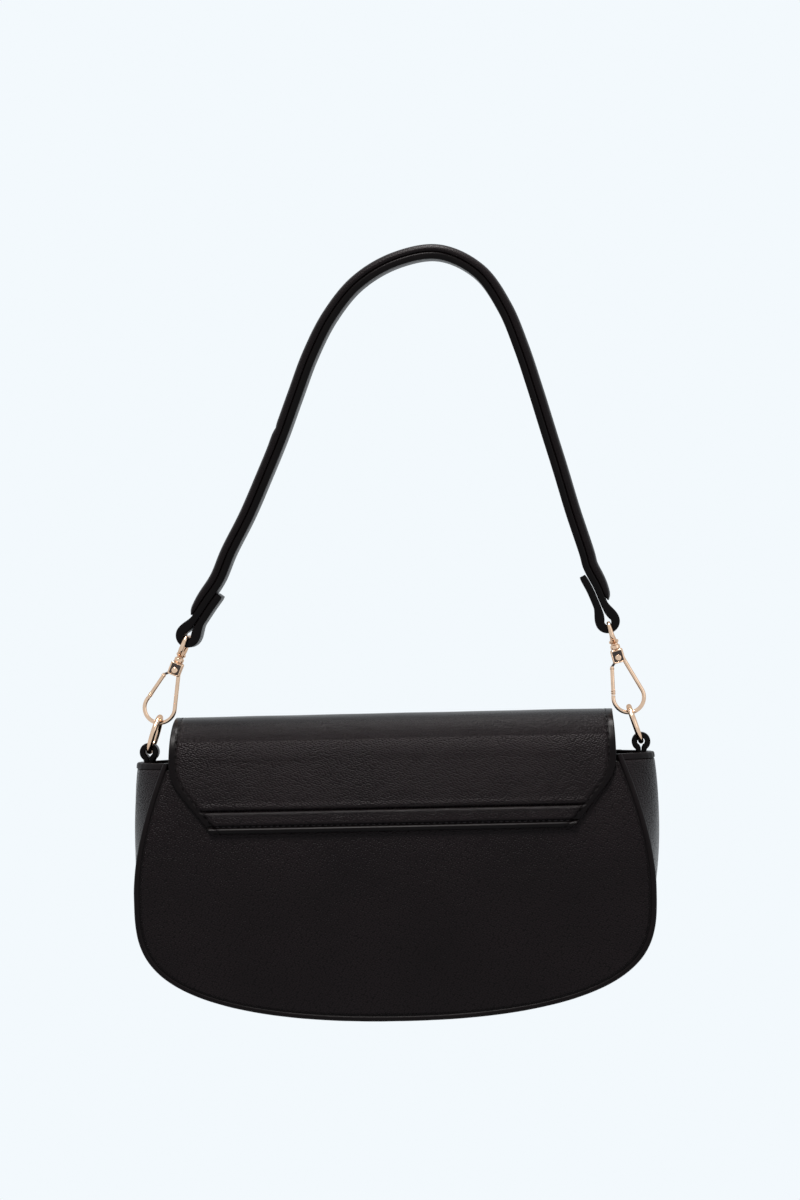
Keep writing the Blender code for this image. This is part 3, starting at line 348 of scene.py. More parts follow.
def grain_leather(name, dark, light, cell=(0.00125, 0.00098), depth=0.00020, rough=(0.18, 0.50)):
    """Black leather with an embossed grain of small round pebbles in slanting wavy rows."""
    stuff = Stuff(bpy.data.materials.new(name))
    maths = stuff.maths
    hide = stuff.add("Attribute", attribute_name="hide")["Vector"]
    grained = stuff.add("SeparateXYZ", hide)[2]
    slant = stuff.add("Mapping", stuff.bent(hide, hide, 150.0, 0.0014), Rotation=(0, 0, math.radians(28)),
                      Scale=(1 / cell[0], 1 / cell[1], 1.0))[0]
    cells = stuff.add("TexVoronoi", slant, voronoi_dimensions="2D", Scale=1.0, Randomness=0.62)["Distance"]
    hollow = maths("POWER", maths("MULTIPLY", cells, 1.45), 2.0)
    pebble = maths("MULTIPLY", maths("SUBTRACT", 1.0, hollow, clamp=True), grained)
    fine = stuff.noise(hide, 5200.0, 3.0, 0.6)
    patch = stuff.noise(hide, 24.0, 3.0, 0.55)
    height = maths("ADD", pebble, maths("MULTIPLY", fine, 0.10))
    tone = maths("MULTIPLY", pebble, maths("ADD", patch, 0.35), clamp=True)
    colour = stuff.add("Mix", tone, *[None] * 5, (*dark, 1.0), (*light, 1.0), data_type="RGBA")[2]
    low, high = rough
    shine = maths("MULTIPLY_ADD", pebble, low - high, high)
    plain = maths("MULTIPLY", maths("SUBTRACT", 1.0, grained, clamp=True), PLAIN_ROUGH - high)
    uneven = maths("MULTIPLY", maths("SUBTRACT", patch, 0.5), 0.16)
    shine = maths("ADD", maths("ADD", shine, plain), uneven)
    relief = stuff.bump(height, 1.0, depth, stuff.bump(stuff.noise(hide, 60.0, 2.0), 0.25, 0.0006))
    return stuff.paint(colour, shine, relief, ("Specular IOR Level", LEATHER_GLOSS))


def smooth_leather(name, colour, rough=0.40):
    """Finely creased leather for pipings, edges and tabs."""
    stuff = Stuff(bpy.data.materials.new(name))
    wavy = stuff.bent(stuff.place((260.0, 900.0, 420.0)), stuff.place(), 90.0, 1.4)
    creases = stuff.noise(wavy, 1.0, 4.0, 0.6)
    patch = stuff.noise(stuff.place(), 70.0)
    colours = stuff.ramp(patch, (0.25, times(colour, 0.75)), (0.55, colour), (0.8, times(colour, 1.7)))
    return stuff.paint(colours, stuff.maths("MULTIPLY_ADD", creases, 0.22, rough - 0.11),
                       stuff.bump(creases, 0.35, 0.00022), ("Specular IOR Level", LEATHER_GLOSS))


def gold(name, colour, rough):
    """Thin plated metal with faint polishing marks."""
    stuff = Stuff(bpy.data.materials.new(name))
    marks = stuff.noise(stuff.place((500, 500, 2600)), 1.0, 4.0, 0.6)
    cloud = stuff.noise(stuff.place(), 260.0)
    colours = stuff.ramp(cloud, (0.30, times(colour, 0.90)), (0.60, colour), (0.85, times(colour, 1.06)))
    return stuff.paint(colours, stuff.maths("MULTIPLY_ADD", marks, 0.14, rough - 0.05),
                       stuff.bump(marks, 0.05, 0.00005),
                       ("Metallic", 1.0), ("Specular Tint", (0.70, 0.56, 0.46, 1.0)))


def cloth(name, colour, pitch=0.0006, sheen=0.15):
    """Fine twill: diagonal ribs over a thread pattern."""
    stuff = Stuff(bpy.data.materials.new(name))
    maths = stuff.maths
    x, y, z = stuff.add("SeparateXYZ", stuff.place((1 / pitch,) * 3))
    across = maths("ADD", x, y)
    rib = maths("SINE", maths("MULTIPLY", maths("ADD", across, z), 3.1))
    thread = maths("SINE", maths("MULTIPLY", maths("SUBTRACT", across, z), 9.3))
    weave = maths("ADD", rib, maths("MULTIPLY", thread, 0.4))
    shade = maths("MULTIPLY_ADD", weave, 0.3, 0.5)
    colours = stuff.ramp(shade, (0.0, times(colour, 0.5)), (1.0, times(colour, 1.5)))
    shine = maths("MULTIPLY_ADD", stuff.noise(stuff.place(), 40.0), 0.2, 0.62)
    return stuff.paint(colours, shine, stuff.bump(weave, 0.35, 0.00008),
                       ("Sheen Weight", sheen), ("Specular IOR Level", 0.5 if sheen else 0.04))


def plain_stuff(name, colour, scale, rough=0.85, metallic=0.0, depth=0.0001):
    """Board, felt or steel: mottled colour and a fine tooth."""
    stuff = Stuff(bpy.data.materials.new(name))
    mottle = stuff.noise(stuff.place(), scale, 5.0, 0.65)
    colours = stuff.ramp(mottle, (0.25, times(colour, 0.75)), (0.75, times(colour, 1.2)))
    return stuff.paint(colours, stuff.maths("MULTIPLY_ADD", mottle, 0.2, rough - 0.1),
                       stuff.bump(mottle, 0.3, depth), ("Metallic", metallic))


LEATHER_GLOSS, PLAIN_ROUGH = 0.075, 0.30
GRAIN = grain_leather("grain_leather", (0.0026, 0.0015, 0.0017), (0.0118, 0.0078, 0.0088))
STRAP_GRAIN = grain_leather("strap_grain", (0.0028, 0.0016, 0.0018), (0.0066, 0.0044, 0.0048),
                            cell=(0.0012, 0.0010), depth=0.00005, rough=(0.34, 0.44))
TRIM = smooth_leather("trim_leather", (0.0046, 0.0029, 0.0032))
EDGE = smooth_leather("painted_edge", (0.0022, 0.0014, 0.0015), 0.32)
THREAD = cloth("thread", (0.0012, 0.0008, 0.0009), 0.00022, 0.0)
# A lighter thread whose colour paints the thin highlight along the tail's low row of stitches.
HIGHLIGHT_THREAD = cloth("painted_highlight_thread", (0.030, 0.025, 0.027), 0.00022)
TWILL = cloth("lining_twill", (0.012, 0.010, 0.011))
GOLD = gold("pale_gold", (0.74, 0.52, 0.37), 0.13)
# A dark brown that paints shade: the hollow inside each hook's head, and the gap under it on the gate's
# tongue.
PAINTED_SHADE = plain_stuff("painted_shade_brown", (0.030, 0.017, 0.012), 1500.0, 0.45, 0.0, 0.00003)
STEEL = plain_stuff("spring_steel", (0.52, 0.52, 0.53), 900.0, 0.34, 1.0, 0.00003)
MAGNET = plain_stuff("magnet_nickel", (0.60, 0.60, 0.61), 700.0, 0.30, 1.0, 0.00003)
GREY_BOARD = plain_stuff("fibre_board", (0.30, 0.28, 0.25), 1400.0, 0.92)


def fit(piece, material, slot, body, *nodes):
    """Dresses a piece. It rides on a body, or, given a joint's tuple, only keeps its place in the world; and
    it stands for the CAD nodes named, which it hides.
    """
    piece.data.materials.clear()
    piece.data.materials.append(material)
    if nodes:
        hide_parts(*nodes)
    if isinstance(body, tuple):
        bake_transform(piece)
    else:
        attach(piece, body)


# The body's surfaces

def lean(drop):
    return np.maximum(0.0, (WIDEST - np.asarray(drop, float)) / WIDEST)


def half_width(drop):
    drop = np.asarray(drop, float)
    share = np.clip((drop - WIDEST) / (HEIGHT - WIDEST), 0.0, 1.0)
    low = HALF_WIDTH * (1 - share ** LOW_POWER) ** (1 / LOW_ROOT)
    return np.where(drop <= WIDEST, HALF_WIDTH - RIM_IN * lean(drop) ** SIDE_POWER, low)


def half_depth(drop):
    return HALF_DEPTH - RIM_DEPTH_IN * lean(drop) ** 2


def middle_bulge(drop):
    """How far the gusset swells beyond the pipings, half way between them."""
    share = 0.06 + 0.94 * np.clip(np.asarray(drop) / WIDEST, 0, 1)
    middle = HALF_WIDTH + GUSSET_SWELL * np.maximum(np.sin(math.pi * share), 0.0) ** 0.8
    return np.where(lean(drop) > 0, np.maximum(0.0, middle - half_width(drop)), 0.0)


def crown(x, drop):
    share = np.clip(np.asarray(drop, float) / HEIGHT, 0.0, 1.0)
    return CROWN * (1 - (np.asarray(x) / HALF_WIDTH) ** 2) * np.sin(math.pi * share)


def outline(count, top, fine=1200):
    """Evenly spaced (x, drop) points and inward steps, down the left, along the bottom and up the right."""
    drops = np.linspace(top, WIDEST, fine, endpoint=False)
    turns = np.linspace(0, math.pi / 2, fine + 1)
    across = np.append(np.cos(turns[:-1]) ** (2 / LOW_ROOT), 0.0)
    low = np.stack([HALF_WIDTH * across, WIDEST + (HEIGHT - WIDEST) * np.sin(turns) ** (2 / LOW_POWER)], 1)
    right = np.concatenate([np.stack([half_width(drops), drops], 1), low])
    points = resample(np.concatenate([right * (-1, 1), right[-2::-1]]), count)
    ahead = unit(np.gradient(points, axis=0))
    inward = np.stack([ahead[:, 1], -ahead[:, 0]], 1)
    for end in (0, -1):
        inward[end] = (1 / inward[end][0], 0.0)
    return points, inward


SEAM, SEAM_IN = outline(281, HEM + GAP)
LEVEL_IN = abs(SEAM_IN[-1][0])
BORE = 2 * PIPE + GAP
TAIL_REACH = float(half_depth(0.0)) + LEATHER
FRONT_REACH = float(half_depth(0.0)) + FRONT_STACK
PANEL_MIDDLE = np.array((0.0, HEIGHT * 0.46))
PANEL_STEPS = (0.0008, 0.0016, 0.0026, 0.004, 0.006, 0.0085, 0.012, 0.0165)
PANEL_RINGS, PANEL_TOP_STEPS, FAR_FROM_EDGE = 24, 90, 0.07


def dome_solid(name, facing, inset, depth, thickness, edge_round, swell=None):
    """A crowned panel with a rounded edge. swell(x, drop, from_edge) adds to its outer side."""
    edge = SEAM + SEAM_IN * inset
    loop = np.concatenate([edge, np.linspace(edge[-1], edge[0], PANEL_TOP_STEPS + 1)[1:-1]])
    reach = np.linalg.norm(loop - PANEL_MIDDLE, axis=1)
    shares = [1 - step / reach for step in (edge_round, *PANEL_STEPS)]
    shares += [shares[-1] * (1 - k / PANEL_RINGS) for k in range(1, PANEL_RINGS)]
    count = len(loop)

    def lift(at, down, swell=None, from_edge=None):
        x, drop = at.T
        y = half_depth(drop) - down + crown(x, drop)
        if swell is not None:
            y = y + swell(x, drop, from_edge)
        return np.stack([x, facing * y, RIM - drop], 1)

    def surface(down, swell=None):
        rings = []
        for share in shares:
            at = PANEL_MIDDLE + (loop - PANEL_MIDDLE) * share[:, None]
            rings.append(lift(at, down, swell, np.linalg.norm(loop - at, axis=1)))
        return rings + [lift(PANEL_MIDDLE[None], down, swell, np.full(1, FAR_FROM_EDGE))]

    points = surface(depth, swell) + surface(depth + thickness)
    faces = []
    half = count * len(shares) + 1
    for base in (0, half):
        faces += grid_faces(len(shares), count, base, True)
        middle = base + half - 1
        faces += [(middle - count + k, middle - count + (k + 1) % count, middle) for k in range(count)]
    round_edge(points, faces, list(range(count)), list(range(half, half + count)),
               lift(loop, depth + thickness / 2), 4)
    points = np.concatenate(points)
    piece = mesh_object(name, points, faces)
    grained = np.full(len(points), 1.0)
    grained[:count] = grained[half:half + count] = grained[2 * half:] = 0.0
    grained[count:2 * count] = 0.5
    lay_hide(piece, [np.stack([points[:, 0], points[:, 2], grained], 1)])
    return piece


def panel_swell(seed):
    """A soft wobble, the leather drawn in along the piping's seam, and its small puckers there."""
    def swell(x, drop, from_edge):
        soft = wave(x, drop, 0 * x, 0.085, seed) * 0.00035 * np.clip(from_edge / 0.02, 0, 1)
        seam = -0.00042 * np.exp(-(from_edge / 0.0011) ** 2)
        turn = np.arctan2(drop - 0.06, x) * 0.11
        return soft + seam + 0.00010 * np.sin(2 * math.pi * turn / 0.0052) * np.exp(-from_edge / 0.003)
    return swell


def build_panels():
    for name, facing, seed in (("back", -1, 3), ("front", 1, 8)):
        panel = dome_solid(f"{name}_panel_leather", facing, 2 * PIPE - 0.0004, GAP, LEATHER, 0.0004,
                           panel_swell(seed))
        fit(panel, GRAIN, "body_leather", "bag", f"{name}_panel")
        lining = dome_solid(f"{name}_lining_cloth", facing, LINER_IN, LINING_SET, LINING, 0.0002)
        fit(lining, TWILL, "lining_cloth", "bag", f"{name}_lining")


def build_piping():
    base = np.concatenate([[(-half_width(0.0), 0.0)], SEAM, [(half_width(0.0), 0.0)]])
    inward = np.concatenate([[(LEVEL_IN, 0.0)], SEAM_IN, [(-LEVEL_IN, 0.0)]])
    turns = circle(18)
    for name, facing, seed in (("back", -1, 5), ("front", 1, 6)):
        rings = []
        for point, step in zip(base, inward):
            size = PIPE * (1 + 0.03 * wave(point[0], point[1], 0.0, 0.012, seed))
            at = point + step * (PIPE - np.cos(turns) * size)[:, None]
            y = facing * (half_depth(point[1]) - PIPE + np.sin(turns) * size)
            rings.append(np.stack([at[:, 0], y, RIM - at[:, 1]], 1))
        piece = join_rings(f"{name}_piping_cord", rings, smooth=60.0)
        fit(piece, TRIM, "trim_leather", "bag", f"{name}_piping")


def gusset_grid(inset, shares, reach_in, seed=None):
    """Rows across the gusset from one piping to the other, at each place of the seam."""
    rows = []
    full = 1 - shares ** 2
    for (x, drop), (base_x, base_drop) in zip(SEAM + SEAM_IN * inset, SEAM):
        side = math.copysign(1.0, base_x)
        out = middle_bulge(base_drop) * full
        if seed is not None:
            out = out + wave(side * 0.02 + 0 * shares, shares * 0.03, base_drop, 0.05, seed) * 0.0005 * full
            near = np.clip(1 - base_drop / 0.075, 0, 1)
            out = out - 0.0009 * near * np.exp(-((shares - 0.18 * side) / 0.13) ** 2)
        reach = half_depth(base_drop) - BORE - reach_in
        rows.append(np.stack([x + side * out, shares * reach, np.full_like(shares, RIM - drop)], 1))
    return np.array(rows)


def fold_section(count, square):
    """Round a folded edge: how far across it, from -1 to 1, and the drop, from 0 to HEM."""
    turns = circle(count)
    return eased(np.cos(turns), 0.55), HEM / 2 * (1 + eased(np.sin(turns), square))


def build_gusset():
    shares = np.linspace(-1, 1, 33)
    top = gusset_grid(GUSSET_SET, shares, -0.0008, 11)
    bottom = gusset_grid(GUSSET_SET + LEATHER, shares, -0.0008)
    hide = np.stack([arc(top, 1), arc(top, 0), np.ones(top.shape[:2])], 2)
    piece = sheet_solid("gusset_leather", top, bottom, edge_line(top, bottom, 0.0003), hide=hide)
    fit(piece, GRAIN, "body_leather", "bag", "gusset")
    top = gusset_grid(GUSSET_LINING_IN, shares, 0.0002)
    bottom = gusset_grid(GUSSET_LINING_IN + LINING, shares, 0.0002)
    piece = sheet_solid("gusset_lining_cloth", top, bottom, edge_line(top, bottom, 0.0002), 2)
    fit(piece, TWILL, "lining_cloth", "bag", "gusset_lining")


def build_folds():
    """The folded top edges: the gusset's two hems and the panels' two bindings."""
    across, drop = fold_section(28, 0.45)
    low, high = GUSSET_SET - GAP, LINER_IN
    inward = ((low + high) / 2 - (high - low) / 2 * across) * LEVEL_IN
    for name, side in (("left", -1), ("right", 1)):
        rings = []
        for share in np.linspace(-1, 1, 41):
            out = (middle_bulge(drop) + 0.00012 * math.sin(share * 37.0)) * (1 - share ** 2)
            x = half_width(drop) - inward + out
            rings.append(np.stack([side * x, share * (half_depth(drop) - BORE), RIM - drop], 1))
        piece = join_rings(f"{name}_gusset_hem_fold", rings, smooth=50.0)
        fit(piece, TRIM, "trim_leather", "bag", f"{name}_gusset_hem")
    across, drop = fold_section(24, 0.5)
    y = half_depth(drop) - GAP - STACK_IN / 2 + STACK_IN / 2 * across
    reach = half_width(0.0) - BORE * LEVEL_IN
    for name, facing in (("back", -1), ("front", 1)):
        rings = [np.stack([np.full_like(y, x), facing * y, RIM - drop], 1)
                 for x in np.linspace(-reach, reach, 61)]
        piece = join_rings(f"{name}_top_binding_fold", rings, smooth=50.0)
        fit(piece, TRIM, "trim_leather", "bag", f"{name}_top_binding")


def build_pocket():
    """A slip pocket on the back lining, with a hemmed and slightly slack mouth."""
    half, mouth, hem_end, low = 0.060, 0.028, 0.0314, 0.100
    drops = np.concatenate([[mouth, 0.0284, 0.0292, 0.0312, 0.0316], np.linspace(0.034, low, 24)])
    x, drop = np.meshgrid(np.linspace(-half, half, 41), drops)
    hem = np.where(drop < hem_end, 0.00025, 0.0)
    slack = 0.0007 * np.clip(1 - (drop - mouth) / 0.03, 0, 1) * np.cos(x / (2 * half) * math.pi)
    outer = half_depth(drop) + crown(x, drop) - STACK_IN - 0.0006
    back = np.stack([x, -(outer - slack), RIM - drop], 2)
    front = np.stack([x, -(outer - slack - LINING - hem), RIM - drop], 2)
    piece = sheet_solid("inner_pocket_cloth", front, back, edge_line(front, back, 0.0), 2)
    fit(piece, TWILL, "lining_cloth", "bag", "inner_pocket")


# The flap

FORE_IN = 0.0025
SIDE_STITCH = 0.00345
FLAP_EDGE = 0.00045
LOW_GROOVE, HIGH_GROOVE, BAND_RISE, BAND_EASE = 0.0033, 0.0109, 0.00100, 0.0020
FLAP_COLUMNS = (0.0, 0.0025, 0.006, 0.011, 0.017, 0.023, 0.029, 0.034, 0.038, 0.043, 0.050, 0.060, 0.075)
LIFT = ("bag", "flap_top", (0, -TAIL_REACH, RIM - 0.003), (0, -TAIL_REACH + 0.003, RIM + 0.010))
FOLD = ("flap_top", "flap", (0, 0.0150, RIM + 0.0185), (0, 0.0250, RIM + 0.0095))


def arch_line(t):
    """(y, rise) and the outward normal along the arch, from the back rim at 0 to the front one at 1."""
    facing, reach = (-1.0, TAIL_REACH) if t < 0.5 else (1.0, FRONT_REACH)
    share = 2 * t if t < 0.5 else 2 * (1 - t)
    a, b, c, d = np.array(((facing * reach, 0.0), (facing * (reach - ARCH_LEAN * ARCH_HANDLE), ARCH_HANDLE),
                           (facing * ARCH_HANDLE, FLAP_RISE), (0.0, FLAP_RISE)))

    def at(s):
        return a * (1 - s) ** 3 + 3 * b * s * (1 - s) ** 2 + 3 * c * s ** 2 * (1 - s) + d * s ** 3
    near = max(min(share, 0.999), 0.001)
    ahead = unit(at(near + 0.001) - at(near - 0.001))
    return at(share), (facing * ahead[1], -facing * ahead[0])


def flap_half_width(rise, length, end_in):
    """Half of the flap's width. Its front half is a little narrower, so that it passes the hooks."""
    share = min(max((FLAP_RISE - 0.0001 - rise) / 0.0020, 0.0), 1.0)
    room = FORE_IN * share ** 2 * (3 - 2 * share) if length == FRONT_LENGTH else 0.0
    top, rim, end = (float(half_width(0.0)) - step - room for step in (FLAP_TOP_IN, FLAP_RIM_IN, end_in))
    if rise >= 0:
        return rim + (top - rim) * (rise / FLAP_RISE) ** 2
    slant_top = length - SLANT_HEIGHT
    shoulder = rim - (rim - end) * SLANT_SHOULDER
    if -rise <= slant_top:
        return rim - (rim - shoulder) * (-rise / slant_top) ** 2
    return shoulder + (end - shoulder) * (-rise - slant_top) / SLANT_HEIGHT


def soft_half_width(rise, length, end_in, corner=0.0026):
    """The same with its corners eased, as a turned edge has them."""
    width = float(np.mean([flap_half_width(rise + step, length, end_in)
                           for step in np.linspace(-0.0022, 0.0022, 9) if rise + step >= -length]))
    left = length + rise
    if left < corner:
        width -= corner - math.sqrt(max(corner ** 2 - (corner - left) ** 2, 0.0))
    return width


def flap_rows(back, low, fine):
    """Places up one half of the flap: (y, rise), normal, facing (0 on the arch) and the half's length."""
    facing, reach, length = (-1.0, TAIL_REACH, TAIL_LENGTH) if back else (1.0, FRONT_REACH, FRONT_LENGTH)
    rows = []
    for drop in low:
        y = facing * (reach + float(half_depth(drop)) - float(half_depth(0.0)))
        rows.append(((y, -drop), (facing, 0.0), facing, length))
    for k in range(1, fine + 1):
        rows.append((*arch_line(0.5 * k / fine if back else 1 - 0.5 * k / fine), 0.0, length))
    return rows


def flap_line(row, x, width, depth, relief=None):
    """Points across one row at a depth below the flap's outer side."""
    (y, rise), normal, facing, _ = row
    down = np.full_like(x, depth)
    if relief is not None:
        down = down - relief(x, -rise, width)
    y = y + facing * crown(x, max(-rise, 0.0))
    return np.stack([x, y - normal[0] * down, RIM + rise - normal[1] * down], 1)


def flap_grid(rows, end_in, columns, depth, inset, relief=None):
    grid = []
    for row in rows:
        rise, length = row[0][1], row[3]
        width = soft_half_width(rise, length, end_in) - inset
        line = flap_line(row, width * columns, width, depth, relief)
        if rise <= -length + 1e-9:
            line[:, 2] += inset
        grid.append(line)
    return np.array(grid)


def groove(distance, width, depth):
    return -depth * np.exp(-(distance / width) ** 2)


def side_dents(x, drop, width):
    """A sunk seam beside the flap's edge, deeper at each stitch."""
    deep = 0.00022 + 0.00034 * math.sin(math.pi * drop / 0.0037) ** 2
    return groove(width - SIDE_STITCH - np.abs(x), 0.0006, deep)


def tail_relief(x, drop, width):
    """Two sewn grooves along the tail's edge with a filled band between them, and a lip outside them."""
    from_edge = TAIL_LENGTH - drop
    low, high = from_edge - LOW_GROOVE, from_edge - HIGH_GROOVE
    inside = 1 / (1 + np.exp(-(width - SIDE_STITCH - np.abs(x)) / 0.0005))
    lines = groove(low, 0.00045, 0.00070) + groove(high, 0.00050, 0.00095) * inside
    band = BAND_RISE * (1 - (1 - min(max(min(low, -high) / BAND_EASE, 0), 1)) ** 2) * inside
    lip = -groove(from_edge - 0.0016, 0.0011, 0.00085)
    above = -groove(from_edge - 0.0132, 0.0012, 0.0003) * inside
    return lines + band + lip + side_dents(x, drop, width) + wave(x, drop, 0.3, 0.06, 21) * 0.00018 + above


def front_relief(x, drop, width):
    low = groove(FRONT_LENGTH - drop - SIDE_STITCH, 0.0007, 0.00028)
    return side_dents(x, drop, width) + low + wave(x, drop, 0.9, 0.06, 22) * 0.0002


def arch_relief(x, drop, width):
    return side_dents(x, drop, width) + wave(x, drop, 0.5, 0.05, 23) * 0.0002


def sew(name, line, normals, pitch=0.0037, length=0.0025, radius=0.00022, sink=0.00006):
    """A row of stitches along a line: each one a short thread that dives in at both ends."""
    lengths = arc(line)
    count = int(lengths[-1] / pitch)
    start = (lengths[-1] - count * pitch) / 2 + (pitch - length) / 2
    lift = np.array([-0.9, 0.35, 0.8, 0.8, 0.35, -0.9]) * radius - sink
    sides = steps = 6
    points, faces = [], []
    for k in range(count):
        along = start + k * pitch + np.linspace(0, length, steps)
        at, up = at_lengths(line, lengths, along), unit(at_lengths(normals, lengths, along))
        side = np.cross(unit(np.gradient(at, axis=0)), up)
        points += [at[j] + up[j] * lift[j] + radius * around(sides, side[j], up[j]) for j in range(steps)]
        base = sides * steps * k
        faces += grid_faces(steps, sides, base, True)
        faces += [tuple(range(end, end + sides)) for end in (base, base + sides * (steps - 1))]
    return mesh_object(name, np.concatenate(points), faces, 80.0)


def flap_half(name, back, low, end_in, relief, joint, *nodes):
    """One half of the flap's leather and its stitches."""
    edge = np.array(FLAP_COLUMNS)
    columns = np.concatenate([edge, np.linspace(0.09, 1.91, 71), 2 - edge[::-1]]) - 1
    rows = flap_rows(back, low, 56)
    length, facing = low[0], -1.0 if back else 1.0

    def shape(x, drop, width):
        return relief(x, drop, width) if drop > 0 else arch_relief(x, drop, width)
    top = flap_grid(rows, end_in, columns, 0.0, FLAP_EDGE, shape)
    bottom = flap_grid(rows, end_in, columns, LEATHER, FLAP_EDGE)
    reach = flap_grid(rows, end_in, columns, LEATHER / 2, 0.0)
    line = np.array([reach[r, c] for r, c in border(*reach.shape[:2])])
    rise = top[:, :, 2] - RIM
    grained = np.clip((top[:, -1:, 0] - np.abs(top[:, :, 0]) - 0.0026) / 0.0012, 0, 1)
    grained = grained * np.clip((0.0222 - rise) / 0.0120, 0.04, 1)
    grained = grained * np.clip((length + rise - 0.0030) / 0.001, 0, 1)
    if back:
        grained = grained * (1 - np.exp(-((length + rise - 0.0101) / 0.0010) ** 2))
    middle = np.zeros_like(rise) + arc(top[:, top.shape[1] // 2])[:, None]
    hide = np.stack([top[:, :, 0], middle, grained], 2)
    piece = sheet_solid(f"{name}_leather", top, bottom, line, 6, 50.0, hide)
    fit(piece, GRAIN, "body_leather", joint, *nodes)

    seams = []
    normals = np.array([(0.0, *row[1]) for row in rows])
    for side in (-1, 1):
        points = []
        for row in rows:
            width = soft_half_width(row[0][1], length, end_in)
            points.append(flap_line(row, np.array([side * (width - SIDE_STITCH)]), width, 0.0, shape)[0])
        points = np.array(points)
        keep = points[:, 2] > RIM - length + SIDE_STITCH - (0.0006 if back else 0.0)
        seams.append(sew("seam", points[keep], normals[keep], radius=0.00026, sink=0.00012))
    drop = length - (LOW_GROOVE if back else SIDE_STITCH)
    width = soft_half_width(-drop, length, end_in)
    x = np.linspace(SIDE_STITCH - width, width - SIDE_STITCH, 80)
    y = (TAIL_REACH if back else FRONT_REACH) + half_depth(drop) - half_depth(0.0) + crown(x, drop)
    points = np.stack([x, facing * (y + shape(x, drop, width)), np.full_like(x, RIM - drop)], 1)
    low_seam = sew(f"{name}_low_stitches", points, np.tile((0.0, facing, 0.0), (80, 1)), 0.0030, 0.0022)
    # The tail's low row takes the lighter thread, a painted highlight along it.
    fit(low_seam, HIGHLIGHT_THREAD if back else THREAD, "trim_leather", joint)
    thread = join_pieces(f"{name}_stitches", seams)
    thread.data.shade_smooth()
    fit(thread, THREAD, "trim_leather", joint)


def flap_lining(name, rows, depth, joint, node):
    columns, inset = np.linspace(-1, 1, 61), 0.004
    top = flap_grid(rows, FRONT_END_IN, columns, depth, inset)
    bottom = flap_grid(rows, FRONT_END_IN, columns, depth + LINING, inset)
    fit(sheet_solid(name, bottom, top, edge_line(bottom, top, 0.0002), 3), TWILL, "lining_cloth", joint, node)


def build_flap():
    tail_low = np.concatenate([[TAIL_LENGTH, TAIL_LENGTH - 0.0003],
                               np.arange(TAIL_LENGTH - 0.0006, TAIL_LENGTH - 0.0135, -0.00028),
                               np.arange(TAIL_LENGTH - 0.0136, 0.0004, -0.00045)])
    front_low = np.concatenate([[FRONT_LENGTH, FRONT_LENGTH - 0.0003],
                                np.arange(FRONT_LENGTH - 0.0008, 0.0004, -0.0008)])
    flap_half("flap_rear", True, tail_low, TAIL_END_IN, tail_relief, LIFT, "flap_tail", "flap_bridge")
    flap_half("flap_fore", False, front_low, FRONT_END_IN, front_relief, FOLD, "flap_front")
    low = np.concatenate([[FRONT_LENGTH], np.arange(FRONT_LENGTH - 0.001, 0.0004, -0.0015)])
    under = LEATHER + GAP
    flap_lining("flap_rear_lining", flap_rows(True, [], 40), under, LIFT, "flap_bridge_lining")
    flap_lining("flap_fore_lining", flap_rows(False, low, 40), under + BOARD + GAP, FOLD, "flap_front_lining")


# Strap and tabs

TAB_RISE, TAB_OUTER, TAB_SKIN, TAB_HALF, STEM_SKIN = 0.0050, 0.0047, 0.0028, 0.004, 0.0014
STRAP_HALF, STRIP, PAD, PAD_END, PAD_TAPER, PAD_CAP = 0.0075, 0.0036, 0.0040, 0.0023, 0.016, 0.0042
SWIVEL_X, EYE_RISE, HOLE_RISE = 0.0004, 0.0385, 0.0052
LOOP_RADIUS, LOOP_LENGTH, TAIL_RUN, THROAT_RUN, STRAP_RISE = 0.0044, 0.0095, 0.026, 0.0085, 0.1868
CONTACT = 0.00008
# Along the arch: shares of the way across between the loops and of its height
STRAP_LINE = (
    (0.080, 0.145), (0.110, 0.220), (0.156, 0.316), (0.199, 0.421), (0.240, 0.526), (0.277, 0.633),
    (0.315, 0.740), (0.364, 0.842), (0.430, 0.928), (0.519, 0.983), (0.619, 0.998), (0.708, 0.946),
    (0.765, 0.850), (0.802, 0.741), (0.832, 0.630), (0.860, 0.518), (0.888, 0.407), (0.915, 0.295),
    (0.944, 0.188), (0.954, 0.145),
)


def clasp_point(name, x, y, z):
    """A point of a clasp's own frame, whose zero is the middle of the hook's bend."""
    side, angle, _ = CLASPS[name]
    c, s = math.cos(math.radians(angle)), math.sin(math.radians(angle))
    return np.array((side * BEND_X + x * c + z * s, y, BEND_Z - x * s + z * c))


def strap_end(name):
    """The loop's centre, and the ways up the strap's end and out from the arch."""
    side, _, strap_lean = CLASPS[name]
    turn = math.radians(strap_lean)
    up = np.array((math.sin(turn), 0.0, math.cos(turn)))
    out = np.array((up[2], 0.0, -up[0])) * side
    centre = clasp_point(name, SWIVEL_X, 0.0, EYE_RISE) + up * (LOOP_RADIUS - STRIP / 2 - EYE_WIRE / 2 - GAP)
    return centre, up, out


